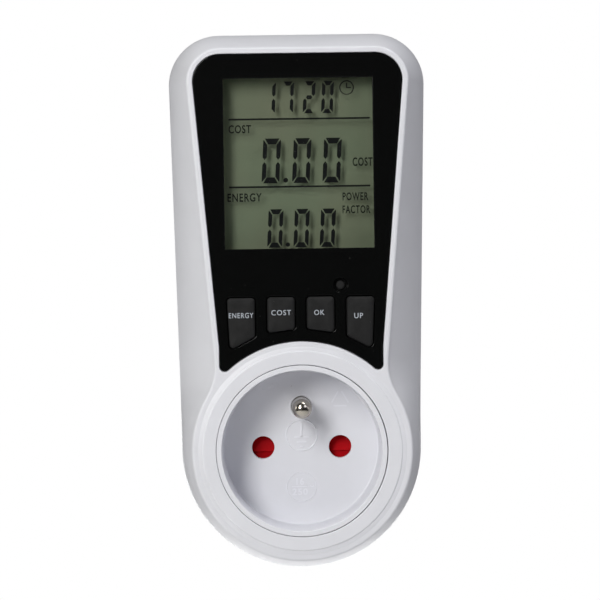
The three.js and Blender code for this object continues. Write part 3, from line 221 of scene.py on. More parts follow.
class Nodes:
    """A material's node tree, with short calls for the nodes that the finishes share."""

    def __init__(self, name):
        self.material = bpy.data.materials.new(name)
        self.material.use_nodes = True
        tree = self.material.node_tree
        tree.nodes.clear()
        self.nodes, self.links = tree.nodes, tree.links
        self.shader = self.node("BsdfPrincipled")
        self.node("OutputMaterial", Surface=self.shader.outputs[0])
        self.place = self.node("TexCoord").outputs["Object"]
        self.height = None

    def node(self, kind, **inputs):
        node = self.nodes.new("ShaderNode" + kind)
        self.plug(node, **inputs)
        return node

    def plug(self, node, **inputs):
        for name, value in inputs.items():
            self.feed(node.inputs[name.replace("_", " ")], value)

    def feed(self, socket, value):
        """Links a socket to another node's output, or gives it a value."""
        if isinstance(value, bpy.types.NodeSocket):
            self.links.new(value, socket)
        else:
            socket.default_value = value

    def set(self, **inputs):
        """Sets or links inputs of the surface."""
        self.plug(self.shader, **inputs)

    def noise(self, grain, detail=2.0, stretch=None):
        """Noise whose blobs are about this size in metres."""
        place = self.place
        if stretch is not None:
            place = self.node("Mapping", Scale=stretch, Vector=place).outputs["Vector"]
        return self.node("TexNoise", Scale=1 / grain, Detail=detail, Vector=place).outputs["Fac"]

    def range(self, value, low, high, start=0.3, end=0.7):
        """A value between start and end, spread between low and high."""
        limits = {"From_Min": start, "From_Max": end, "To_Min": low, "To_Max": high}
        return self.node("MapRange", Value=value, **limits).outputs["Result"]

    def blend(self, factor, low, high):
        """A colour between two, each a colour or another output.

        Inputs 6 and 7 and output 2 are the mix node's colours.
        """
        node = self.node("Mix")
        node.data_type = "RGBA"
        self.plug(node, Factor=factor)
        for socket, colour in ((node.inputs[6], low), (node.inputs[7], high)):
            self.feed(socket, (*colour, 1) if isinstance(colour, tuple) else colour)
        return node.outputs[2]

    def specks(self, spacing, size, share):
        """1 on scattered round specks and 0 elsewhere: a share of the cells holds one."""
        cells = self.node("TexVoronoi", Scale=1 / spacing, Vector=self.place)
        channels = self.node("SeparateColor", Color=cells.outputs["Color"])
        inside = self.math("LESS_THAN", cells.outputs["Distance"], size / spacing)
        chosen = self.math("LESS_THAN", channels.outputs[0], share)
        return self.math("MULTIPLY", inside, chosen)

    def math(self, operation, first, second):
        node = self.node("Math")
        node.operation = operation
        for socket, value in zip(node.inputs, (first, second)):
            self.feed(socket, value)
        return node.outputs[0]

    def bump(self, height, depth):
        """Adds relief of this depth in metres over what is there already."""
        node = self.node("Bump", Distance=depth, Strength=1, Height=height)
        if self.height is not None:
            self.plug(node, Normal=self.height)
        self.height = node.outputs[0]
        self.set(Normal=self.height)


def shade(colour, factor):
    return tuple(min(1, c * factor) for c in colour)


# Sizes of the flow mottling, the patches of gloss and the slow waves in a moulded face.
FLOW_SIZE = 9 * MM
GLOSS_SIZE = 2.5 * MM
WAVE_SIZE = 14 * MM
WAVE_DEPTH = 0.012 * MM
GLOSS_CHANGE = 0.12


def moulded(
    name, colour, roughness, grain=0.12 * MM, depth=0.002 * MM, mottling=0.03, dust=None, shine=0.5
):
    """Moulded plastic: a fine spark-eroded grain, faint flow mottling and uneven gloss.

    dust is the colour of the specks, the size of the cells, the size of a speck and the share of cells.
    """
    m = Nodes(name)
    m.set(Specular_IOR_Level=shine)
    cloud = m.noise(FLOW_SIZE, 3)
    base = m.blend(cloud, shade(colour, 1 - mottling), shade(colour, 1 + mottling))
    if dust is not None:
        dust_colour, spacing, size, share = dust
        base = m.blend(m.specks(spacing, size, share), base, dust_colour)
    low, high = roughness * (1 - GLOSS_CHANGE), roughness * (1 + GLOSS_CHANGE)
    m.set(Base_Color=base, Roughness=m.range(m.noise(GLOSS_SIZE, 4), low, high))
    m.bump(m.noise(grain, 2), depth)
    m.bump(m.noise(WAVE_SIZE, 1), WAVE_DEPTH)
    return m.material


TARNISH_SIZE = 1.8 * MM
TARNISH_SHADE = 0.82
DRAWING_MARK_SIZE = 0.08 * MM
DRAWING_MARK_CHANGE = 0.3


def metal(name, colour, roughness, brushed=None, depth=0.001 * MM):
    """Metal with fine drawing marks along one axis and a little tarnish."""
    m = Nodes(name)
    tarnish = m.range(m.noise(TARNISH_SIZE, 5), 0, 1, 0.4, 0.75)
    m.set(Metallic=1.0, Base_Color=m.blend(tarnish, colour, shade(colour, TARNISH_SHADE)))
    marks = m.noise(DRAWING_MARK_SIZE, 2, brushed)
    low, high = roughness * (1 - DRAWING_MARK_CHANGE), roughness * (1 + DRAWING_MARK_CHANGE)
    m.set(Roughness=m.range(marks, low, high))
    m.bump(marks, depth)
    return m.material


def matt(name, low, high, grain, roughness, relief_grain, relief, detail=2.0, shine=0.5):
    """A matt finish that wanders between two colours, with a fine relief."""
    m = Nodes(name)
    cloud = m.blend(m.noise(grain, detail), low, high)
    m.set(Roughness=roughness, Specular_IOR_Level=shine, Base_Color=cloud)
    m.bump(m.noise(relief_grain), relief)
    return m.material


def floor_material():
    return matt("floor_paper", (0.9, 0.9, 0.9), (0.93, 0.93, 0.93), 200 * MM, 0.9, 0.5 * MM, 0.01 * MM)


WHITE = (0.79, 0.795, 0.84)
DUST_PALE = (0.22, 0.21, 0.19)
DUST_DARK = (0.30, 0.27, 0.24)


def white_plastic():
    return moulded("white_plastic", WHITE, 0.42)


def socket_plastic():
    dust = (DUST_DARK, 2.6 * MM, 0.09 * MM, 0.12)
    return moulded("socket_plastic", shade(WHITE, 1.02), 0.4, dust=dust)


def mark_plastic_painted_highlight():
    """The raised marks on the socket's floor, painted paler than the floor: a painted highlight for the
    light that their ridges catch.
    """
    return moulded("mark_plastic_painted_highlight", shade(WHITE, 1.12), 0.32)


def black_plastic():
    dust = (DUST_PALE, 1.7 * MM, 0.055 * MM, 0.22)
    return moulded("black_plastic", (0.0032, 0.0034, 0.0034), 0.13, depth=0.0003 * MM, dust=dust, shine=0.3)


def key_rubber():
    dust = (DUST_PALE, 1.1 * MM, 0.04 * MM, 0.25)
    return moulded("key_rubber", (0.006, 0.006, 0.0063), 0.7, 0.16 * MM, 0.02 * MM, 0.12, dust, 0.35)


def legend_ink():
    low, high = (0.44, 0.48, 0.54), (0.56, 0.6, 0.66)
    return matt("legend_ink", low, high, 0.3 * MM, 0.6, 0.06 * MM, 0.002 * MM, 3)


def shutter_red():
    return moulded("shutter_red", (0.5, 0.0015, 0.006), 0.5, mottling=0.08, shine=0.08)


def lcd_reflector():
    """Grey-green reflector: greener at the sides, browner in the middle, with a faint fibre."""
    m = Nodes("lcd_reflector")
    green, brown = (0.158, 0.203, 0.12), (0.182, 0.202, 0.122)
    cloud = m.range(m.noise(26 * MM, 1), 0, 1, 0.3, 0.7)
    fibre = m.range(m.noise(0.25 * MM, 3), 0.93, 1.0)
    mixed = m.blend(cloud, green, brown)
    m.set(Base_Color=m.blend(fibre, shade(green, 0.6), mixed), Roughness=0.55)
    m.bump(m.noise(0.2 * MM, 3), 0.004 * MM)
    return m.material


def lcd_ink():
    low, high = (0.0012, 0.002, 0.0024), (0.002, 0.0032, 0.0036)
    return matt("lcd_ink", low, high, 1.5 * MM, 0.4, 0.1 * MM, 0.001 * MM, shine=0.15)


def clear_plate(name, alpha):
    """Clear acrylic or glass, which lets light and shadow through."""
    m = Nodes(name)
    tint = m.blend(m.noise(8 * MM), (0.02, 0.024, 0.02), (0.03, 0.034, 0.03))
    m.set(Alpha=alpha, IOR=1.47, Base_Color=tint, Roughness=m.range(m.noise(3 * MM, 3), 0.04, 0.09))
    return m.material


# ------------------------------------------------------------------ outlines, in X and Z


def evenly(start, end, steps):
    return [start + (end - start) * i / steps for i in range(steps + 1)]


def arc(x, z, radius, start, end, steps):
    return [(x + radius * math.cos(a), z + radius * math.sin(a)) for a in evenly(start, end, steps)]


def circle(x, z, radius, steps=96):
    return arc(x, z, radius, 0, 2 * math.pi, steps)[:-1]


def rounded(corners, radius, grow=0.0, steps=6):
    """A convex polygon, listed anticlockwise, with rounded corners and grown all round."""
    points = []
    for before, here, after in zip(corners[-1:] + corners[:-1], corners, corners[1:] + corners[:1]):
        normals = []
        for (x0, z0), (x1, z1) in ((before, here), (here, after)):
            length = math.hypot(x1 - x0, z1 - z0)
            normals.append(((z1 - z0) / length, -(x1 - x0) / length))
        (ax, az), (bx, bz) = normals
        pull = radius / (1 + ax * bx + az * bz)
        centre_x = here[0] - (ax + bx) * pull
        centre_z = here[1] - (az + bz) * pull
        start, end = math.atan2(az, ax), math.atan2(bz, bx)
        if end < start:
            end += 2 * math.pi
        points += arc(centre_x, centre_z, radius + grow, start, end, steps)
    return points


def rectangle(low_x, high_x, low_z, high_z):
    return [(low_x, low_z), (high_x, low_z), (high_x, high_z), (low_x, high_z)]


def mirrored(points):
    return [(-x, z) for x, z in reversed(points)]


def swung(points, angle, x=0.0, z=0.0):
    """Points turned about the origin by an angle and then moved."""
    cos, sin = math.cos(angle), math.sin(angle)
    return [(x + px * cos - pz * sin, z + px * sin + pz * cos) for px, pz in points]


def case_half_width(z):
    return CASE_RADIUS + CASE_TAPER * z


def panel_half_width(z):
    return PANEL_HALF_WIDTH + PANEL_TAPER * (z - PANEL_WIDTH_Z)


def border_half_width(z):
    return panel_half_width(z) + BORDER_WIDTH


def neck_arc():
    """Centre and end angle of the arc that touches the circle round the socket and the border."""
    normal = math.atan(-PANEL_TAPER)
    start = border_half_width(0) + NECK_RADIUS / math.cos(normal)
    distance = BORDER_SOCKET_RADIUS + NECK_RADIUS
    a = 1 + PANEL_TAPER**2
    b = start * PANEL_TAPER
    c = start**2 - distance**2
    z = (-b + math.sqrt(b * b - a * c)) / a
    return start + PANEL_TAPER * z, z, math.pi + normal


NECK_X, NECK_Z, NECK_SIDE_ANGLE = neck_arc()
NECK_ANGLE = math.atan2(NECK_Z, NECK_X)
BOTTOM_STEPS = 36
SIDE_ARC_STEPS = 9
NECK_STEPS = 14
SIDE_STEPS = 12
CORNER_STEPS = 16


def border_half(inset):
    """Right half of the raised border's outline, from the lowest point to the top corner."""
    radius = BORDER_SOCKET_RADIUS - inset
    corner_z = PANEL_TOP_Z + BORDER_WIDTH - BORDER_CORNER_RADIUS
    corner_x = border_half_width(corner_z) - BORDER_CORNER_RADIUS
    neck = arc(NECK_X, NECK_Z, NECK_RADIUS + inset, math.pi + NECK_ANGLE, NECK_SIDE_ANGLE, NECK_STEPS)
    corner = arc(corner_x, corner_z, BORDER_CORNER_RADIUS - inset, 0, math.pi / 2, CORNER_STEPS)
    (x0, z0), (x1, z1) = neck[-1], corner[0]
    steps = [i / SIDE_STEPS for i in range(1, SIDE_STEPS)]
    side = [(x0 + (x1 - x0) * t, z0 + (z1 - z0) * t) for t in steps]
    return [
        *arc(0, 0, radius, -math.pi / 2, 0, BOTTOM_STEPS),
        *arc(0, 0, radius, 0, NECK_ANGLE, SIDE_ARC_STEPS)[1:],
        *neck[1:],
        *side,
        *corner,
    ]


def case_half(inset):
    """Right half of the case's widest outline, with its points level with the border's."""
    corner_z = CASE_TOP_Z - CASE_CORNER_RADIUS
    corner_x = case_half_width(corner_z) - CASE_CORNER_RADIUS
    bottom = arc(0, 0, CASE_RADIUS - inset, -math.pi / 2, 0, BOTTOM_STEPS)
    corner = arc(corner_x, corner_z, CASE_CORNER_RADIUS - inset, 0, math.pi / 2, CORNER_STEPS)
    levels = [z for _, z in border_half(0)[len(bottom):-len(corner)]]
    return [*bottom, *[(case_half_width(z) - inset, z) for z in levels], *corner]


def case_outline(blend, inset):
    """An outline between the border's, at blend 0, and the case's widest, at blend 1."""
    half = [
        (bx + (cx - bx) * blend, bz + (cz - bz) * blend)
        for (bx, bz), (cx, cz) in zip(border_half(inset), case_half(inset))
    ]
    return half + mirrored(half)[:-1]


FLANK_FRONT_Y = PLATEAU_Y + 0.9 * MM
FLANK_BULGE = 0.75 * MM


def flank_blend(y):
    return min(1, max(0, (y - FLANK_FRONT_Y) / (PARTING_Y - FLANK_FRONT_Y)))


def flank_bulge(y):
    """How far the flank swells out between the border and the case's widest outline."""
    blend = flank_blend(y)
    return 4 * FLANK_BULGE * blend * (1 - blend)


def panel_outline(grow):
    tip_x = PANEL_SIDE_X - PANEL_TIP_RADIUS
    tip_z = math.sqrt((PANEL_ARC_RADIUS + PANEL_TIP_RADIUS) ** 2 - tip_x**2)
    tip_angle = math.atan2(tip_z, tip_x)
    corner_z = PANEL_TOP_Z - PANEL_CORNER_RADIUS
    corner_x = panel_half_width(corner_z) - PANEL_CORNER_RADIUS
    right = [
        *arc(tip_x, tip_z, PANEL_TIP_RADIUS + grow, math.pi + tip_angle, 2 * math.pi, 12),
        *arc(PANEL_SIDE_X + grow, PANEL_SIDE_TOP_Z, 0, 0, 0, 1)[1:],
        *arc(corner_x, corner_z, PANEL_CORNER_RADIUS + grow, 0, math.pi / 2, 20),
    ]
    under = arc(0, 0, PANEL_ARC_RADIUS - grow, math.pi - tip_angle, tip_angle, 60)[1:-1]
    return right + mirrored(right) + under


def key_opening():
    right = [(0, 28.3), (8.2, 27.3), (11, 26.3), (18.6, 23.6), (18.6, 42.5)]
    right = [(x * MM, z * MM) for x, z in right]
    return right + mirrored(right)[:-1]


# ------------------------------------------------------------------ meshes


class Skin:
    """Collects rows of points and the faces between them."""

    def __init__(self):
        self.points = []
        self.faces = []

    def add(self, points):
        first = len(self.points)
        self.points += points
        return list(range(first, len(self.points)))

    def ring(self, outline, y):
        """A closed row of points at one depth."""
        return self.add([(x, y, z) for x, z in outline])

    def bridge(self, first, second):
        for i in range(len(first)):
            j = (i + 1) % len(first)
            self.faces.append((first[i], first[j], second[j], second[i]))

    def chain(self, rings):
        for first, second in zip(rings, rings[1:]):
            self.bridge(first, second)

    def fill(self, boundary, holes=()):
        """A flat face inside one row of points and outside others."""
        if not holes:
            self.faces.append(tuple(boundary))
            return
        loops = [boundary, *holes]
        order = [i for loop in loops for i in loop]
        rows = [[Vector((self.points[i][0], self.points[i][2], 0)) for i in loop] for loop in loops]
        self.faces += [tuple(order[k] for k in triangle) for triangle in tessellate_polygon(rows)]

    def solid(self, rings):
        """A closed solid through rings, flat at both ends."""
        self.chain(rings)
        self.fill(rings[0])
        self.fill(rings[-1])

    def pierce(self, front, back, holes):
        """Closes a plate at both faces, round holes whose walls run from front to back."""
        for walls in holes:
            self.chain(walls)
        self.fill(front, [walls[0] for walls in holes])
        self.fill(back, [walls[-1] for walls in holes])

    def merge(self, other):
        row = self.add(other.points)
        self.faces += [tuple(row[i] for i in face) for face in other.faces]


# Vertices closer than the first are one. Edges that bend more than the second stay sharp.
WELD_DISTANCE = 0.0005 * MM
SHARP_BEND = math.radians(38)
# A ring on the axis of a turned piece keeps this radius.
AXIS_RADIUS = 0.001 * MM
# In the typeface's own units, in which a letter is about 1 high.
LETTER_WELD_DISTANCE = 0.0001
LETTER_SPACING = 1.16
LETTER_BOLDNESS = 0.018


def new_object(name, skin, material):
    mesh = bpy.data.meshes.new(name)
    mesh.from_pydata(skin.points, [], skin.faces)
    work = bmesh.new()
    work.from_mesh(mesh)
    bmesh.ops.remove_doubles(work, verts=work.verts, dist=WELD_DISTANCE)
    bmesh.ops.recalc_face_normals(work, faces=work.faces)
    work.to_mesh(mesh)
    work.free()
    mesh.materials.append(material)
    mesh.shade_smooth()
    mesh.set_sharp_from_angle(angle=SHARP_BEND)
    piece = bpy.data.objects.new(name, mesh)
    bpy.context.scene.collection.objects.link(piece)
    weigh = piece.modifiers.new("even_shading", "WEIGHTED_NORMAL")
    weigh.keep_sharp = True
    return piece


def add_piece(name, skin, material, body, replaced=()):
    piece = new_object(name, skin, material)
    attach(piece, body)
    if replaced:
        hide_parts(*replaced)


def quarter(steps):
    """Sine and cosine pairs from 0 to 90 degrees."""
    return [(math.sin(a), math.cos(a)) for a in evenly(0, math.pi / 2, steps)]


def round_over(radius, y, across, along, steps):
    """Profile points of a quarter round from a face at y to a side at this radius.

    across is the round's width, negative for a hole's edge, and along is its depth.
    """
    return [(radius - across * (1 - sin), y + along * (1 - cos)) for sin, cos in quarter(steps)]


def turned(skin, profile, x=0.0, z=0.0, steps=96):
    """Rings for a piece turned about a line along Y: the profile is a list of (radius, y)."""
    return [skin.ring(circle(x, z, max(radius, AXIS_RADIUS), steps), y) for radius, y in profile]


def turned_solid(skin, profile, x=0.0, z=0.0, steps=64):
    skin.solid(turned(skin, profile, x, z, steps))


def lettering(skin, text, low_x, high_x, low_z, high_z, y, thickness, boldness=LETTER_BOLDNESS):
    """Adds raised lettering that fills a box in X and Z and faces the front."""
    curve = bpy.data.curves.new("lettering", "FONT")
    curve.body = text
    curve.resolution_u = 4
    curve.offset = boldness
    curve.space_character = LETTER_SPACING
    curve.extrude = 1
    holder = bpy.data.objects.new("lettering", curve)
    bpy.context.scene.collection.objects.link(holder)
    graph = bpy.context.evaluated_depsgraph_get()
    mesh = bpy.data.meshes.new_from_object(holder.evaluated_get(graph))
    work = bmesh.new()
    work.from_mesh(mesh)
    bmesh.ops.remove_doubles(work, verts=work.verts, dist=LETTER_WELD_DISTANCE)
    points = [tuple(v.co) for v in work.verts]
    work.verts.index_update()
    faces = [[v.index for v in f.verts] for f in work.faces]
    work.free()
    bpy.data.objects.remove(holder)
    bpy.data.curves.remove(curve)
    bpy.data.meshes.remove(mesh)
    left, right = min(p[0] for p in points), max(p[0] for p in points)
    bottom, top = min(p[1] for p in points), max(p[1] for p in points)
    scale_x = (high_x - low_x) / (right - left)
    scale_z = (high_z - low_z) / (top - bottom)
    row = skin.add([
        (
            low_x + (px - left) * scale_x,
            y - thickness / 2 * (pz + 1),
            low_z + (py - bottom) * scale_z,
        )
        for px, py, pz in points
    ])
    skin.faces += [tuple(row[i] for i in face) for face in faces]


# ------------------------------------------------------------------ the case


# A narrow flat band next to a rounded edge keeps the shading of the face beside it flat.
FACE_MARGIN = 0.06 * MM
# The bevels on both sides of the parting line.
PARTING_BEVEL = 0.25 * MM
BOSS_RADIUS = 2.2 * MM
SCREW_HOLE_RADIUS = 1.4 * MM
SCREW_WELL_WALL = 0.6 * MM
# The side of a screw's head: share of its radius, and height above its underside in millimetres.
SCREW_DOME = [(1, 0), (1, 0.7), (0.93, 1.1), (0.75, 1.45)]
SCREW_TOP_SHARE = 0.55
# The arms of a screw's recess: reach, half width and depth in millimetres.
CROSS_ARMS = [(0.95, 0.22, 0), (0.6, 0.17, 0.9)]
PANEL_GAP = 0.15 * MM


def plate_walls(skin, outline, face_y, far_y, round_radius, outward, steps=4):
    """The wall of a plate's edge or hole, with a rounded edge at its face.

    outline is a function of how far the outline is grown. Returns the rings at the face and at the
    far end. outward is 1 for a hole, whose edge opens towards the face, and -1 for a plate's edge.
    """
    inward = 1 if far_y > face_y else -1
    rings = [skin.ring(outline(outward * (round_radius + FACE_MARGIN)), face_y)]
    for sin, cos in quarter(steps):
        y = face_y + inward * round_radius * (1 - cos)
        rings.append(skin.ring(outline(outward * round_radius * (1 - sin)), y))
    rings.append(skin.ring(outline(0), far_y))
    skin.chain(rings)
    return rings[0], rings[-1]


def screw_place(name):
    low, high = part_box(name)
    return (low.x + high.x) / 2, (low.z + high.z) / 2


# The two soft steps from the plateau up to the ring: how far outside the ring, and how far behind it.
RING_STEP = [(1.3, 0.57), (1.1, 0.47), (0.6, 0.4), (0.42, 0.34), (0.28, 0.1), (0.14, 0.02)]


def add_front_shell(material):
    skin = Skin()
    edge = 0.75 * MM
    bend = math.radians(64)
    fillet = [skin.ring(case_outline(0, edge + FACE_MARGIN), PLATEAU_Y)]
    for angle in evenly(0, bend, 7):
        inset = edge * (1 - math.sin(angle) / math.sin(bend))
        depth = (FLANK_FRONT_Y - PLATEAU_Y) * (1 - math.cos(angle)) / (1 - math.cos(bend))
        fillet.append(skin.ring(case_outline(0, inset), PLATEAU_Y + depth))
    flank_ys = evenly(FLANK_FRONT_Y, PARTING_Y - PARTING_BEVEL, 14)[1:]
    flank = [skin.ring(case_outline(flank_blend(y), -flank_bulge(y)), y) for y in flank_ys]
    inside_ys = evenly(PARTING_Y, FRONT_INSIDE_Y, 6)
    inside = [skin.ring(case_outline(flank_blend(y), SIDE_WALL), y) for y in inside_ys]
    parting = [skin.ring(case_outline(1, PARTING_BEVEL), PARTING_Y)]
    skin.chain([*fillet, *flank, *parting, *inside])

    swell = [
        (RING_STEP_RADIUS + FACE_MARGIN, PLATEAU_Y),
        (RING_STEP_RADIUS, PLATEAU_Y),
        *[(RING_OUTER_RADIUS + out * MM, RING_Y + drop * MM) for out, drop in RING_STEP],
        (RING_OUTER_RADIUS, RING_Y),
    ]
    rim = 0.2 * MM
    mouth = [
        *round_over(RING_INNER_RADIUS, RING_Y, -rim, rim, 5),
        (RING_INNER_RADIUS, SKIRT_BACK_Y),
        (SKIRT_RADIUS, SKIRT_BACK_Y),
        (SKIRT_RADIUS, FRONT_INSIDE_Y),
    ]
    socket = [
        *turned(skin, swell, steps=SOCKET_STEPS),
        *turned(skin, mouth, MOUTH_SHIFT, steps=SOCKET_STEPS),
    ]
    skin.chain(socket)

    pocket = plate_walls(skin, lambda g: panel_outline(PANEL_GAP + g), PLATEAU_Y, POCKET_Y, 0.22 * MM, 1)
    skin.fill(fillet[0], [pocket[0], socket[0]])
    ledge = 2.4 * MM
    window = rectangle(
        -WINDOW_HALF_WIDTH - ledge, WINDOW_HALF_WIDTH + ledge, WINDOW_BOTTOM_Z - ledge, WINDOW_TOP_Z + ledge
    )
    openings = []
    for shape in (window, key_opening()):
        front, back = skin.ring(shape, POCKET_Y), skin.ring(shape, FRONT_INSIDE_Y)
        skin.bridge(front, back)
        openings.append((front, back))
    skin.fill(pocket[1], [front for front, _ in openings])
    skin.fill(inside[-1], [*[back for _, back in openings], socket[-1]])
    for name in SCREWS:
        x, z = screw_place(name)
        boss = [
            (BOSS_RADIUS, FRONT_INSIDE_Y - 0.2 * MM),
            (BOSS_RADIUS, PARTING_Y),
            (SCREW_HOLE_RADIUS, PARTING_Y),
            (SCREW_HOLE_RADIUS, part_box(name)[0].y - 1 * MM),
        ]
        turned_solid(skin, boss, x, z, 32)
    add_piece("front_case", skin, material, "case", ["front_shell"])


def add_rear_shell(material):
    skin = Skin()
    round_radius = 2.9 * MM
    taper = 0.9 * MM
    side_start_y = REAR_FRONT_Y + PARTING_BEVEL
    side_end_y = REAR_FACE_Y - round_radius
    side = [skin.ring(case_outline(1, PARTING_BEVEL), REAR_FRONT_Y)]
    for y in evenly(side_start_y, side_end_y, 8):
        side.append(skin.ring(case_outline(1, taper * (y - side_start_y) / (side_end_y - side_start_y)), y))
    for sin, cos in quarter(8)[1:]:
        inset = taper + round_radius * (1 - cos)
        side.append(skin.ring(case_outline(1, inset), side_end_y + round_radius * sin))
    inside_y = REAR_FACE_Y - 2.2 * MM
    lip_y = REAR_FRONT_Y - 2 * MM
    lip_blend = flank_blend(lip_y)
    inner = [
        skin.ring(case_outline(blend, SIDE_WALL + gap * MM), y)
        for blend, gap, y in (
            (1, 0.3, REAR_FRONT_Y),
            (lip_blend, 0.3, lip_y),
            (lip_blend, 1.2, lip_y),
            (1, 0.8, REAR_FRONT_Y),
            (1, 1.0, inside_y),
        )
    ]
    skin.chain([*reversed(side), *inner])

    plug_hole = PLUG_RADIUS + 0.3 * MM
    holes = [turned(skin, [
        (plug_hole + 0.4 * MM, REAR_FACE_Y),
        (plug_hole + 0.12 * MM, REAR_FACE_Y - 0.12 * MM),
        (plug_hole, REAR_FACE_Y - 0.4 * MM),
        (plug_hole, inside_y),
    ])]
    for name in SCREWS:
        holes.append(turned(skin, [
            (SCREW_WELL_RADIUS + 0.25 * MM, REAR_FACE_Y),
            (SCREW_WELL_RADIUS, REAR_FACE_Y - 0.25 * MM),
            (SCREW_WELL_RADIUS, SCREW_SEAT_Y),
            (SCREW_HOLE_RADIUS, SCREW_SEAT_Y),
            (SCREW_HOLE_RADIUS, REAR_FRONT_Y),
            (SCREW_WELL_RADIUS + SCREW_WELL_WALL, REAR_FRONT_Y),
            (SCREW_WELL_RADIUS + SCREW_WELL_WALL, inside_y),
        ], *screw_place(name), 40))
    skin.pierce(side[-1], inner[-1], holes)
    add_piece("rear_case", skin, material, "case", ["rear_shell"])


def add_screws(material):
    head, shank, root = 2.1 * MM, 1.1 * MM, 0.88 * MM
    point, pitch, turns = 1.5 * MM, 0.9 * MM, 15
    head_y = SCREW_SEAT_Y + 0.1 * MM
    dome = [(head * share, head_y + height * MM) for share, height in SCREW_DOME]
    for name in SCREWS:
        low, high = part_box(name)
        x, z = screw_place(name)
        skin = Skin()
        thread = [(0, low.y), (root, low.y + point)]
        for i in range(turns):
            y = low.y + point + i * pitch
            thread += [(root, y + 0.35 * pitch), (shank, y + 0.5 * pitch), (root, y + 0.65 * pitch)]
        profile = [*thread, (shank, head_y), *dome, (head * SCREW_TOP_SHARE, high.y)]
        body = turned(skin, profile, x, z, 40)
        skin.chain(body)
        skin.fill(body[0])
        skin.fill(body[-1], [cross_recess(skin, x, z, high.y)])
        add_piece(f"{name}_body", skin, material, "case", [name])


def cross_recess(skin, x, z, y):
    """A tapered cross-shaped recess. Returns its ring at the head's top."""
    rings = []
    for reach, half, depth in CROSS_ARMS:
        arm = [(reach * MM, -half * MM), (reach * MM, half * MM), (half * MM, half * MM)]
        outline = [point for i in range(4) for point in swung(arm, i * math.pi / 2, x, z)]
        rings.append(skin.ring(outline, y - depth * MM))
    skin.chain(rings)
    skin.fill(rings[1])
    return rings[0]


# ------------------------------------------------------------------ display and keys

KEY_CORNER = 0.9 * MM
KEY_CLEARANCE = 0.25 * MM
INNER_KEY = [(x * MM, z * MM) for x, z in ((1.45, 29.45), (8.1, 28.55), (8.1, 37.2), (1.45, 37.2))]
OUTER_KEY = [(x * MM, z * MM) for x, z in ((11.1, 27.75), (17.2, 24.5), (17.8, 37.1), (11.1, 37.1))]
KEYS = {
    "energy": mirrored(OUTER_KEY),
    "cost": mirrored(INNER_KEY),
    "ok": INNER_KEY,
    "up": OUTER_KEY,
}
# Where each legend lies on its key: the middle of the word and half its width.
LEGENDS = {
    "energy": ("ENERGY", -14.4, 32.9, 2.95),
    "cost": ("COST", -4.73, 33.47, 2.37),
    "ok": ("OK", 4.47, 33.4, 1.23),
    "up": ("UP", 13.95, 32.5, 1.05),
}
LEGEND_HEIGHT = 1.25 * MM
LEGEND_BOLDNESS = 0.002
LEGEND_SINK = 0.05 * MM
LEGEND_THICKNESS = 0.06 * MM
BEZEL_EDGE = 0.12 * MM
FLANGE_Y = BEZEL_HIGH.y + 0.3 * MM
FLANGE_THICKNESS = 0.8 * MM
# The dish round the reset key: radius and depth in millimetres, from its edge to the key's hole.
RESET_DISH = [(1.9, 0), (1.84, 0), (1.78, 0.06), (1.76, 0.5), (1.6, 0.68), (1.3, 0.72)]


def add_bezel(material):
    skin = Skin()
    front_y, back_y = BEZEL_LOW.y, BEZEL_HIGH.y
    window = rectangle(-WINDOW_HALF_WIDTH, WINDOW_HALF_WIDTH, WINDOW_BOTTOM_Z, WINDOW_TOP_Z)
    edges = [(panel_outline, BEZEL_EDGE, -1), (lambda g: rounded(window, 0.2 * MM, g), 0.12 * MM, 1)]
    for corners in KEYS.values():
        edges.append((lambda g, c=corners: rounded(c, KEY_CORNER, KEY_CLEARANCE + g), 0.18 * MM, 1))
    outer, *holes = [
        plate_walls(skin, outline, front_y, back_y, radius, outward) for outline, radius, outward in edges
    ]
    dish_profile = [(radius * MM, front_y + depth * MM) for radius, depth in RESET_DISH]
    dish = turned(skin, [*dish_profile, (dish_profile[-1][0], back_y)], RESET_X, RESET_Z, 64)
    skin.chain(dish)
    holes.append((dish[0], dish[-1]))
    skin.fill(outer[0], [front for front, _ in holes])
    skin.fill(outer[1], [back for _, back in holes])
    add_piece("display_panel", skin, material, "case", ["display_bezel"])


def add_keys(rubber, ink):
    crown, dome = 0.75 * MM, 0.16 * MM
    for name, corners in KEYS.items():
        low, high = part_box(f"{name}_key")
        skin = Skin()
        # How far inside the key's outline each ring lies, and its depth: crown, side and hidden flange.
        rings = [
            (crown + 1.1 * MM, low.y),
            (crown + 0.5 * MM, low.y + dome * 0.25),
            *round_over(0, low.y + dome * 0.7, -crown, crown * 0.85, 7),
            (0, FLANGE_Y),
            (-0.5 * MM, FLANGE_Y),
            (-0.6 * MM, FLANGE_Y + 0.15 * MM),
            (-0.6 * MM, FLANGE_Y + FLANGE_THICKNESS),
            (1.4 * MM, FLANGE_Y + FLANGE_THICKNESS),
            (1.5 * MM, high.y),
        ]
        skin.solid([
            skin.ring(rounded(corners, max(KEY_CORNER, inset + 0.05 * MM), -inset), y) for inset, y in rings
        ])
        add_piece(f"{name}_key_cap", skin, rubber, f"{name}_button", [f"{name}_key"])
        add_legend(name, low.y, ink)
    add_reset_key(rubber)


def add_legend(name, top_y, ink):
    word, x, z, half_width = LEGENDS[name]
    left, right = (x - half_width) * MM, (x + half_width) * MM
    bottom, top = z * MM - LEGEND_HEIGHT / 2, z * MM + LEGEND_HEIGHT / 2
    skin = Skin()
    y = top_y + LEGEND_SINK
    lettering(skin, word, left, right, bottom, top, y, LEGEND_THICKNESS, LEGEND_BOLDNESS)
    add_piece(f"{name}_legend", skin, ink, f"{name}_button")


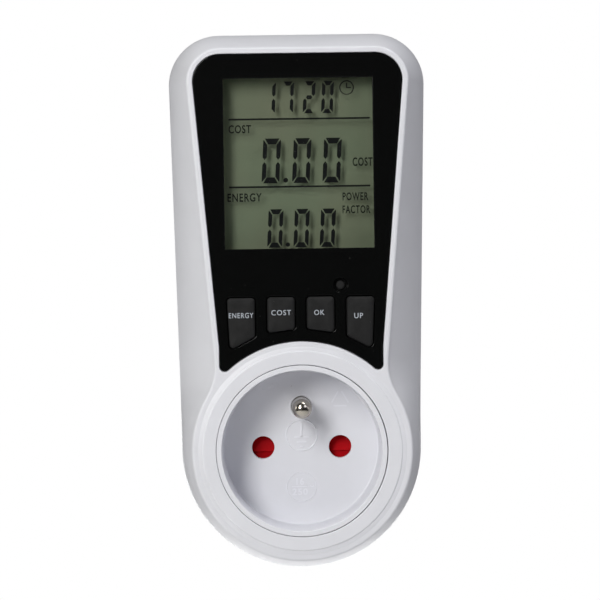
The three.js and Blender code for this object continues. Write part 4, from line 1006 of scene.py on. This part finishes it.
def add_reset_key(material):
    low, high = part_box("reset_key")
    skin = Skin()
    radius, flange, crown = 1.1 * MM, 1.9 * MM, 0.4 * MM
    turned_solid(skin, [
        (0, low.y),
        *round_over(radius, low.y, crown, crown, 5),
        (radius, FLANGE_Y),
        (flange, FLANGE_Y),
        (flange, FLANGE_Y + FLANGE_THICKNESS),
        (radius, FLANGE_Y + FLANGE_THICKNESS),
        (radius, high.y),
        (0, high.y),
    ], RESET_X, RESET_Z, 40)
    add_piece("reset_key_cap", skin, material, "reset_button", ["reset_key"])


def plate_skin(low, high, corner, bevel):
    """A flat plate between two corners of a box, with rounded corners and bevelled edges."""
    skin = Skin()
    corners = rectangle(low.x, high.x, low.z, high.z)
    skin.solid([
        skin.ring(rounded(corners, corner, -bevel), low.y),
        skin.ring(rounded(corners, corner), low.y + bevel),
        skin.ring(rounded(corners, corner), high.y - bevel),
        skin.ring(rounded(corners, corner, -bevel), high.y),
    ])
    return skin


REFLECTOR_DEPTH = 2.3 * MM
GLASS_CORNER, GLASS_BEVEL = 0.4 * MM, 0.08 * MM
PANE_CORNER, PANE_BEVEL = 0.8 * MM, 0.1 * MM
GLASS_GAP = 0.03 * MM
INK_LIFT = 0.02 * MM
SEGMENT_THICKNESS = 0.04 * MM
SEGMENT_GAP = 0.15 * MM
SEGMENT_CLIP = 0.45
SEGMENT_SLANT = 0.055
LIT_SEGMENTS = {"0": "abcdef", "1": "bc", "2": "abged", "7": "abc"}


def segment_outlines(width, height, across, along):
    """Outlines of the seven segments of a digit: across is the bars' thickness, along the posts'.

    The bars and posts meet at mitres with a narrow gap, and the posts end in points at the middle.
    """
    gap = SEGMENT_GAP
    mid = height / 2
    top = [
        (gap + 0.5 * along * SEGMENT_CLIP, height),
        (width - gap - 0.5 * along * SEGMENT_CLIP, height),
        (width - along - gap, height - across),
        (along + gap, height - across),
    ]
    upper_right = [
        (width, height - gap - across * SEGMENT_CLIP * 0.5),
        (width - along * SEGMENT_CLIP * 0.35, height - gap - across * SEGMENT_CLIP * 0.35),
        (width - along, height - across - gap),
        (width - along, mid + gap + along * 0.75),
        (width - along / 2, mid + gap * 1.5),
        (width, mid + gap + along * 0.75),
    ]
    middle = [
        (along * 0.6 + gap, mid),
        (along + gap, mid - across / 2),
        (width - along - gap, mid - across / 2),
        (width - along * 0.6 - gap, mid),
        (width - along - gap, mid + across / 2),
        (along + gap, mid + across / 2),
    ]
    lower_right = flip_down(upper_right, height)
    return {
        "a": top,
        "b": upper_right,
        "c": lower_right,
        "d": flip_down(top, height),
        "e": flip_across(lower_right, width),
        "f": flip_across(upper_right, width),
        "g": middle,
    }


def flip_across(shape, width):
    return [(width - x, z) for x, z in reversed(shape)]


def flip_down(shape, height):
    return [(x, height - z) for x, z in reversed(shape)]


def add_prism(skin, outline, y, thickness):
    skin.solid([skin.ring(outline, y - thickness), skin.ring(outline, y)])


def add_digit(skin, digit, left, bottom, height, width, across, along, y):
    shapes = segment_outlines(width, height, across, along)
    for segment in LIT_SEGMENTS[digit]:
        leaning = [(left + x + SEGMENT_SLANT * z, bottom + z) for x, z in shapes[segment]]
        add_prism(skin, leaning, y, SEGMENT_THICKNESS)


# Rows of digits: the bottom, height and width of a digit, its bars' and posts' thickness, and the
# digits with their left edges. All in millimetres.
DIGIT_ROWS = [
    (81.65, 7.75, 2.85, 1.0, 0.84, [("1", -8.4), ("7", -4.0), ("2", 1.2), ("0", 5.65)]),
    (64.8, 10.85, 4.3, 1.42, 1.02, [("0", -9.0), ("0", -1.62), ("0", 5.75)]),
    (49.2, 9.3, 3.62, 1.2, 0.92, [("0", -7.87), ("0", -1.5), ("0", 4.85)]),
]
DECIMAL_POINTS = [(-3.13, 65.5, 0.58), (-2.82, 49.9, 0.52)]
DIVIDERS = [(-16.8, 17.5, 80.35), (-16.85, 17.35, 63.93)]
WORDS = [
    ("COST", -16.8, -11.35, 77.0, 79.0),
    ("COST", 13.15, 18.0, 68.7, 70.8),
    ("ENERGY", -17.3, -9.0, 60.42, 62.45),
    ("POWER", 10.6, 16.85, 60.4, 62.35),
    ("FACTOR", 10.55, 17.3, 57.25, 59.2),
]
DIVIDER_HALF = 0.22
CLOCK = (11.95, 87.75, 1.78)


def add_display(ink):
    low, high = LCD_LOW, LCD_HIGH
    back_low = Vector((low.x, low.y + REFLECTOR_DEPTH, low.z))
    reflector = plate_skin(back_low, high, GLASS_CORNER, GLASS_BEVEL)
    add_piece("lcd_rear_glass", reflector, lcd_reflector(), "case", ["lcd_panel"])
    front_high = Vector((high.x, back_low.y - GLASS_GAP, high.z))
    glass = plate_skin(low, front_high, GLASS_CORNER, GLASS_BEVEL)
    add_piece("lcd_front_glass", glass, clear_plate("lcd_clear", 0.03), "case")
    add_piece("lcd_segments", display_artwork(low.y - INK_LIFT), ink, "case")
    pane = plate_skin(PANE_LOW, PANE_HIGH, PANE_CORNER, PANE_BEVEL)
    acrylic = clear_plate("clear_window", 0.04)
    add_piece("window_pane", pane, acrylic, "case", ["display_window"])


def display_artwork(y):
    skin = Skin()
    for bottom, *sizes, digits in DIGIT_ROWS:
        for digit, left in digits:
            add_digit(skin, digit, left * MM, bottom * MM, *[size * MM for size in sizes], y)
    for x, z, radius in DECIMAL_POINTS:
        add_prism(skin, circle(x * MM, z * MM, radius * MM, 24), y, SEGMENT_THICKNESS)
    for left, right, z in DIVIDERS:
        line = rectangle(left * MM, right * MM, (z - DIVIDER_HALF) * MM, (z + DIVIDER_HALF) * MM)
        add_prism(skin, line, y, SEGMENT_THICKNESS)
    for word, *sides in WORDS:
        lettering(skin, word, *[side * MM for side in sides], y, SEGMENT_THICKNESS)
    add_clock(skin, y)
    return skin


def add_clock(skin, y):
    x, z, radius = (value * MM for value in CLOCK)
    line = 0.28 * MM
    hand = line / 2
    upright, level = radius * 0.66, radius * 0.6
    raised_ring(skin, x, z, radius, radius - line, y, SEGMENT_THICKNESS, 0, 56)
    for shape in (
        rectangle(x - hand, x + hand, z - hand, z + upright),
        rectangle(x + hand * 1.2, x + level, z - hand, z + hand),
    ):
        add_prism(skin, shape, y, SEGMENT_THICKNESS)


def raised_ring(skin, x, z, outer, inner, y, thickness, slope=0.25, steps=72):
    """A raised ring. slope is how much of its width each sloping side takes."""
    run = (outer - inner) * slope
    profile = [(outer, y), (outer - run, y - thickness), (inner + run, y - thickness), (inner, y)]
    rings = turned(skin, profile, x, z, steps)
    skin.chain([*rings, rings[0]])


# ------------------------------------------------------------------ the socket


def add_socket_cup(material):
    skin = Skin()
    outer_rim, inner_rim = 0.1 * MM, 0.12 * MM
    cove = 0.45 * MM
    rings = turned(skin, [
        (CUP_RADIUS, CUP_HIGH.y),
        *reversed(round_over(CUP_RADIUS, RING_Y, outer_rim, outer_rim, 4)),
        *round_over(WELL_RADIUS, RING_Y, -inner_rim, inner_rim, 4),
        *[
            (WELL_FLOOR_RADIUS - cove * (1 - cos), WELL_FLOOR_Y - cove * (1 - sin))
            for sin, cos in quarter(6)
        ],
    ], CUP_SHIFT, steps=SOCKET_STEPS)
    skin.chain(rings)
    skin.pierce(rings[-1], rings[0], [
        turned(skin, [
            (radius + edge + FACE_MARGIN, WELL_FLOOR_Y),
            (radius + edge, WELL_FLOOR_Y),
            (radius + edge * 0.3, WELL_FLOOR_Y + edge * 0.3),
            (radius, WELL_FLOOR_Y + edge),
            (radius, CUP_HIGH.y),
        ], x, z, 56)
        for x, z, radius, edge in (
            (-PIN_X, 0, SOCKET_HOLE_RADIUS, 0.15 * MM),
            (PIN_X, 0, SOCKET_HOLE_RADIUS, 0.15 * MM),
            (0, EARTH_Z, EARTH_HOLE_RADIUS, 0.05 * MM),
        )
    ])
    add_piece("socket_well", skin, material, "case", ["socket_cup"])


MARK_SINK = 0.05 * MM
MARK_HEIGHT = 0.2 * MM
FINE_MARK_HEIGHT = 0.14 * MM
MARK_BOLDNESS = 0.03
EARTH_MARK = (0, 2.95)
RATING_MARK = (-0.15, -9.9)
TRIANGLE_MARK = (9.6, 11.5)
# The bars of the earth symbol and the line of the rating, and the rating's characters: left, right,
# bottom and top from the middle of the mark, in millimetres.
EARTH_BARS = [
    (-0.22, 0.22, -0.45, 2.9),
    (-1.85, 1.85, -0.68, -0.26),
    (-1.23, 1.23, -1.9, -1.5),
    (-0.4, 0.4, -3.0, -2.62),
]
RATING_LINE = (-2.4, 1.4, 0.0, 0.26)
RATING = {"16": (-1.3, 0.6, 0.5, 2.3), "250": (-2.3, 1.5, -2.0, -0.3), "~": (1.6, 3.0, -0.1, 0.5)}


def mark_sides(middle, left, right, bottom, top):
    x, z = middle
    return (x + left) * MM, (x + right) * MM, (z + bottom) * MM, (z + top) * MM


def add_floor_marks(material):
    """Raised marks moulded on the floor: the earth symbol, a rating and a plain triangle."""
    skin = Skin()
    y = WELL_FLOOR_Y + MARK_SINK
    bold, fine = MARK_SINK + MARK_HEIGHT, MARK_SINK + FINE_MARK_HEIGHT
    for x, z, outer, inner, height in (
        (0, EARTH_Z / MM, 3.05, 2.62, fine),
        (*EARTH_MARK, 4.05, 3.6, bold),
        (*RATING_MARK, 3.75, 3.5, fine),
    ):
        raised_ring(skin, x * MM, z * MM, outer * MM, inner * MM, y, height)
    for bar in EARTH_BARS:
        add_prism(skin, rectangle(*mark_sides(EARTH_MARK, *bar)), y, bold)
    for text, sides in RATING.items():
        lettering(skin, text, *mark_sides(RATING_MARK, *sides), y, fine, MARK_BOLDNESS)
    add_prism(skin, rectangle(*mark_sides(RATING_MARK, *RATING_LINE)), y, fine)
    add_triangle_mark(skin, y, fine)
    add_piece("socket_floor_marks", skin, material, "case")


def add_triangle_mark(skin, y, thickness):
    """An open triangle, as three bars that stop short of its corners."""
    x, z = (value * MM for value in TRIANGLE_MARK)
    reach, half, gap = 2.9 * MM, 0.18 * MM, 0.9 * MM
    length = reach * math.sqrt(3) / 2 - gap
    bar = rectangle(-length, length, -reach / 2 - half, -reach / 2 + half)
    for third in range(3):
        add_prism(skin, swung(bar, third * 2 * math.pi / 3, x, z), y, thickness)


def add_shutter(material):
    """The red shutter: two ears with ramps, each with a hole one travel above its socket hole."""
    low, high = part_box("safety_shutter")
    skin = Skin()
    travel = 6 * MM
    gap_half = 5.4 * MM
    hole_radius, recess_half = 2.9 * MM, 2.95 * MM
    ramp_low_z, ramp_high_z = -1.1 * MM, 2.9 * MM
    # The ramp and the toe below it: bottom, top, and the depth at each.
    recesses = [
        (ramp_low_z, ramp_high_z, 0.05 * MM, 0.9 * MM),
        (low.z + 0.4 * MM, ramp_low_z - 0.05 * MM, 0.5 * MM, 0.5 * MM),
    ]
    for side in (-1, 1):
        inner, outer = side * gap_half, side * high.x
        ear = rounded(rectangle(min(inner, outer), max(inner, outer), low.z, high.z), 0.5 * MM, 0, 5)
        front, back = skin.ring(ear, low.y), skin.ring(ear, high.y)
        skin.bridge(front, back)
        x = side * PIN_X
        hole = turned(skin, [(hole_radius, low.y), (hole_radius, high.y)], x, travel, 40)
        skin.chain(hole)
        mouths = []
        for bottom, top, bottom_depth, top_depth in recesses:
            corners = rectangle(x - recess_half, x + recess_half, bottom, top)
            mouth = skin.ring(corners, low.y)
            depths = (bottom_depth, bottom_depth, top_depth, top_depth)
            sunk = skin.add([(cx, low.y + depth, cz) for (cx, cz), depth in zip(corners, depths)])
            skin.bridge(mouth, sunk)
            skin.fill(sunk)
            mouths.append(mouth)
        skin.fill(front, [hole[0], *mouths])
        skin.fill(back, [hole[-1]])
    reach = gap_half + 0.5 * MM
    bridge_low = Vector((-reach, low.y + 0.2 * MM, low.z))
    bridge_high = Vector((reach, high.y, -0.6 * MM))
    skin.merge(plate_skin(bridge_low, bridge_high, 0.2 * MM, 0.05 * MM))
    add_piece("shutter_plate", skin, material, "shutter", ["safety_shutter"])


PIN_FLANGE_RADIUS = 3.4 * MM


def add_earth_pin(material):
    low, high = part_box("earth_pin")
    skin = Skin()
    flange_y, flange, stem = CUP_HIGH.y + 0.3 * MM, 1.2 * MM, 1.6 * MM
    turned_solid(skin, [
        *round_over(PIN_RADIUS, low.y, PIN_RADIUS, PIN_RADIUS, 14),
        (PIN_RADIUS, flange_y),
        (PIN_FLANGE_RADIUS, flange_y),
        (PIN_FLANGE_RADIUS, flange_y + flange),
        (stem, flange_y + flange),
        (stem, high.y),
        (0, high.y),
    ], 0, EARTH_Z)
    add_piece("earth_contact_pin", skin, material, "case", ["earth_pin"])


# ------------------------------------------------------------------ the plug


def add_plug_pins(material):
    flange_y, flange, stem = -4.3 * MM, 1.3 * MM, 1.8 * MM
    tip_depth, tip_width = 1.7 * MM, PIN_RADIUS * 0.65
    for name in ("live_plug_pin", "neutral_plug_pin"):
        low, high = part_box(name)
        skin = Skin()
        turned_solid(skin, [
            (0, high.y),
            *round_over(PIN_RADIUS, high.y, tip_width, -tip_depth, 10),
            (PIN_RADIUS, flange_y),
            (PIN_FLANGE_RADIUS, flange_y),
            (PIN_FLANGE_RADIUS, flange_y - flange),
            (stem, flange_y - flange),
            (stem, low.y),
            (0, low.y),
        ], (low.x + high.x) / 2, 0)
        add_piece(f"{name}_body", skin, material, "case", [name])


def notched_outline(radius, notch_half, notch_depth, groove_half, groove_depth):
    """A circle with a guide notch at each side and an earth groove above and below."""
    points = []
    cuts = [(notch_half, notch_depth), (groove_half, groove_depth)]
    for i in range(4):
        (half, depth), (next_half, _) = cuts[i % 2], cuts[(i + 1) % 2]
        turn = i * math.pi / 2
        start = turn + math.asin(half / radius)
        end = turn + math.pi / 2 - math.asin(next_half / radius)
        points += swung([(radius - depth, -half), (radius - depth, half)], turn)
        points += arc(0, 0, radius, start, end, 24)
    return points


def add_plug_insert(material):
    skin = Skin()
    front_y, face_y = PLUG_LOW.y, PLUG_HIGH.y
    flange_back_y = REAR_FACE_Y - 2.5 * MM
    edge, wall, face_thickness = 1 * MM, 4.4 * MM, 4 * MM
    notch_half, notch_depth = 2.7 * MM, 2.4 * MM
    groove_half, groove_depth, flange_groove_depth = 2.8 * MM, 1.25 * MM, 3.5 * MM

    def outline(inset):
        return notched_outline(
            PLUG_RADIUS - inset, notch_half, notch_depth - inset, groove_half, groove_depth - inset
        )

    flange = notched_outline(FLANGE_RADIUS, notch_half, notch_depth, groove_half, flange_groove_depth)
    rings = [
        *[skin.ring(outline(edge * (1 - sin)), face_y - edge * (1 - cos)) for sin, cos in quarter(6)],
        skin.ring(outline(0), flange_back_y),
        skin.ring(flange, flange_back_y),
        skin.ring(flange, front_y),
        skin.ring(outline(wall), front_y),
        skin.ring(outline(wall), face_y - face_thickness),
    ]
    skin.chain(rings)
    bevel = 0.25 * MM
    skin.pierce(rings[0], rings[-1], [
        turned(skin, [
            (radius + bevel, face_y),
            (radius, face_y - bevel),
            (radius, face_y - face_thickness),
        ], x, z, 48)
        for x, z, radius in ((-PIN_X, 0, 2.7 * MM), (PIN_X, 0, 2.7 * MM), (0, EARTH_Z, 3.6 * MM))
    ])
    add_piece("plug_body", skin, material, "case", ["plug_insert"])


def add_earth_tube(material):
    low, high = TUBE_LOW, TUBE_HIGH
    bore, radius = PIN_RADIUS + 0.15 * MM, high.x
    floor_y, bevel, flare = low.y + 1 * MM, 0.3 * MM, 0.2 * MM
    skin = Skin()
    turned_solid(skin, [
        (0, low.y),
        (radius, low.y),
        (radius, high.y - bevel),
        (radius - bevel, high.y),
        (bore + flare, high.y),
        (bore, high.y - bevel),
        (bore, floor_y),
        (0, floor_y),
    ], 0, EARTH_Z)
    add_piece("earth_sleeve", skin, material, "case", ["earth_tube"])


def add_earth_bracket(material):
    """The U-shaped strip. Each side contact bows slightly and curls in at its tip."""
    low, high = BRACKET_LOW, BRACKET_HIGH
    outside = high.z
    thickness, bend, bow, tip, curl = 0.8 * MM, 1.1 * MM, 0.18 * MM, 0.6 * MM, 0.5 * MM
    leg_length = high.y - tip - (low.y + bend)
    half = [(0, low.y), *round_over(outside, low.y, bend, bend, 6)]
    for t in evenly(0, 1, 12)[1:]:
        half.append((outside - bow + bow * math.sin(math.pi * t), low.y + bend + leg_length * t))
    half.append((outside - curl, high.y))
    middle = [(-z, y) for z, y in reversed(half[1:])] + half
    outer, inner = [], []
    for i, (z, y) in enumerate(middle):
        z0, y0 = middle[max(i - 1, 0)]
        z1, y1 = middle[min(i + 1, len(middle) - 1)]
        length = math.hypot(z1 - z0, y1 - y0)
        outer.append((z, y))
        inner.append((z - (y1 - y0) / length * thickness, y + (z1 - z0) / length * thickness))
    outline = [*outer, *reversed(inner)]
    skin = Skin()
    left, right = [skin.add([(x, y, z) for z, y in outline]) for x in (low.x, high.x)]
    skin.bridge(left, right)
    last = len(outline) - 1
    for side in (left, right):
        for i in range(len(outer) - 1):
            skin.faces.append((side[i], side[i + 1], side[last - 1 - i], side[last - i]))
    add_piece("earth_strip", skin, material, "case", ["earth_bracket"])


# ------------------------------------------------------------------ inside pieces that stay as they are


def dress_inside():
    """Gives every CAD node that stays its own procedural finish."""
    brass = metal("contact_brass", (0.62, 0.42, 0.14), 0.3, (1, 8, 1))
    inner = moulded("inner_plastic", (0.55, 0.57, 0.57), 0.55)
    rubber = moulded("inner_rubber", (0.03, 0.03, 0.032), 0.7, mottling=0.1)
    finishes = {
        "lcd_holder": inner,
        "contact_carrier": inner,
        "zebra_strip_lower": rubber,
        "zebra_strip_upper": rubber,
        "keypad_mat": rubber,
        "main_board": moulded("board_green", (0.01, 0.1, 0.035), 0.35, mottling=0.15),
        "controller_chip": moulded("chip_black", (0.012, 0.012, 0.013), 0.6),
        "crystal": metal("steel_can", (0.55, 0.56, 0.58), 0.3, (8, 1, 1)),
        "film_capacitor": moulded("capacitor_yellow", (0.68, 0.42, 0.03), 0.45),
        "smoothing_capacitor": moulded("capacitor_sleeve", (0.02, 0.03, 0.08), 0.3),
        "fusible_resistor": moulded("resistor_body", (0.2, 0.27, 0.12), 0.6, mottling=0.1),
        "backup_cells": moulded("cell_sleeve", (0.03, 0.16, 0.05), 0.3),
        "shutter_spring": metal("spring_steel", (0.5, 0.5, 0.52), 0.25, (1, 1, 6)),
        "live_contact": brass,
        "neutral_contact": brass,
        "current_shunt": metal("shunt_metal", (0.5, 0.33, 0.2), 0.35, (1, 8, 1)),
        "live_wire": moulded("wire_red", (0.4, 0.01, 0.015), 0.4),
        "shunt_wire": moulded("wire_black", (0.012, 0.012, 0.013), 0.4),
        "neutral_wire": moulded("wire_blue", (0.02, 0.07, 0.32), 0.4),
    }
    for node, material in finishes.items():
        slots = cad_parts[node].data.materials
        if len(slots) == 0:
            slots.append(material)
        for i in range(len(slots)):
            slots[i] = material


def build():
    white = white_plastic()
    rubber = key_rubber()
    nickel = metal("nickel_plate", (0.52, 0.48, 0.42), 0.2, (1, 0.2, 1), 0.0004 * MM)
    add_front_shell(white)
    add_rear_shell(white)
    add_screws(metal("screw_steel", (0.42, 0.43, 0.45), 0.3))
    add_bezel(black_plastic())
    add_keys(rubber, legend_ink())
    add_display(lcd_ink())
    add_socket_cup(socket_plastic())
    add_floor_marks(mark_plastic_painted_highlight())
    add_shutter(shutter_red())
    add_earth_pin(nickel)
    add_plug_pins(nickel)
    add_plug_insert(white)
    add_earth_tube(nickel)
    add_earth_bracket(nickel)
    dress_inside()


add_camera()
add_stage()
build()
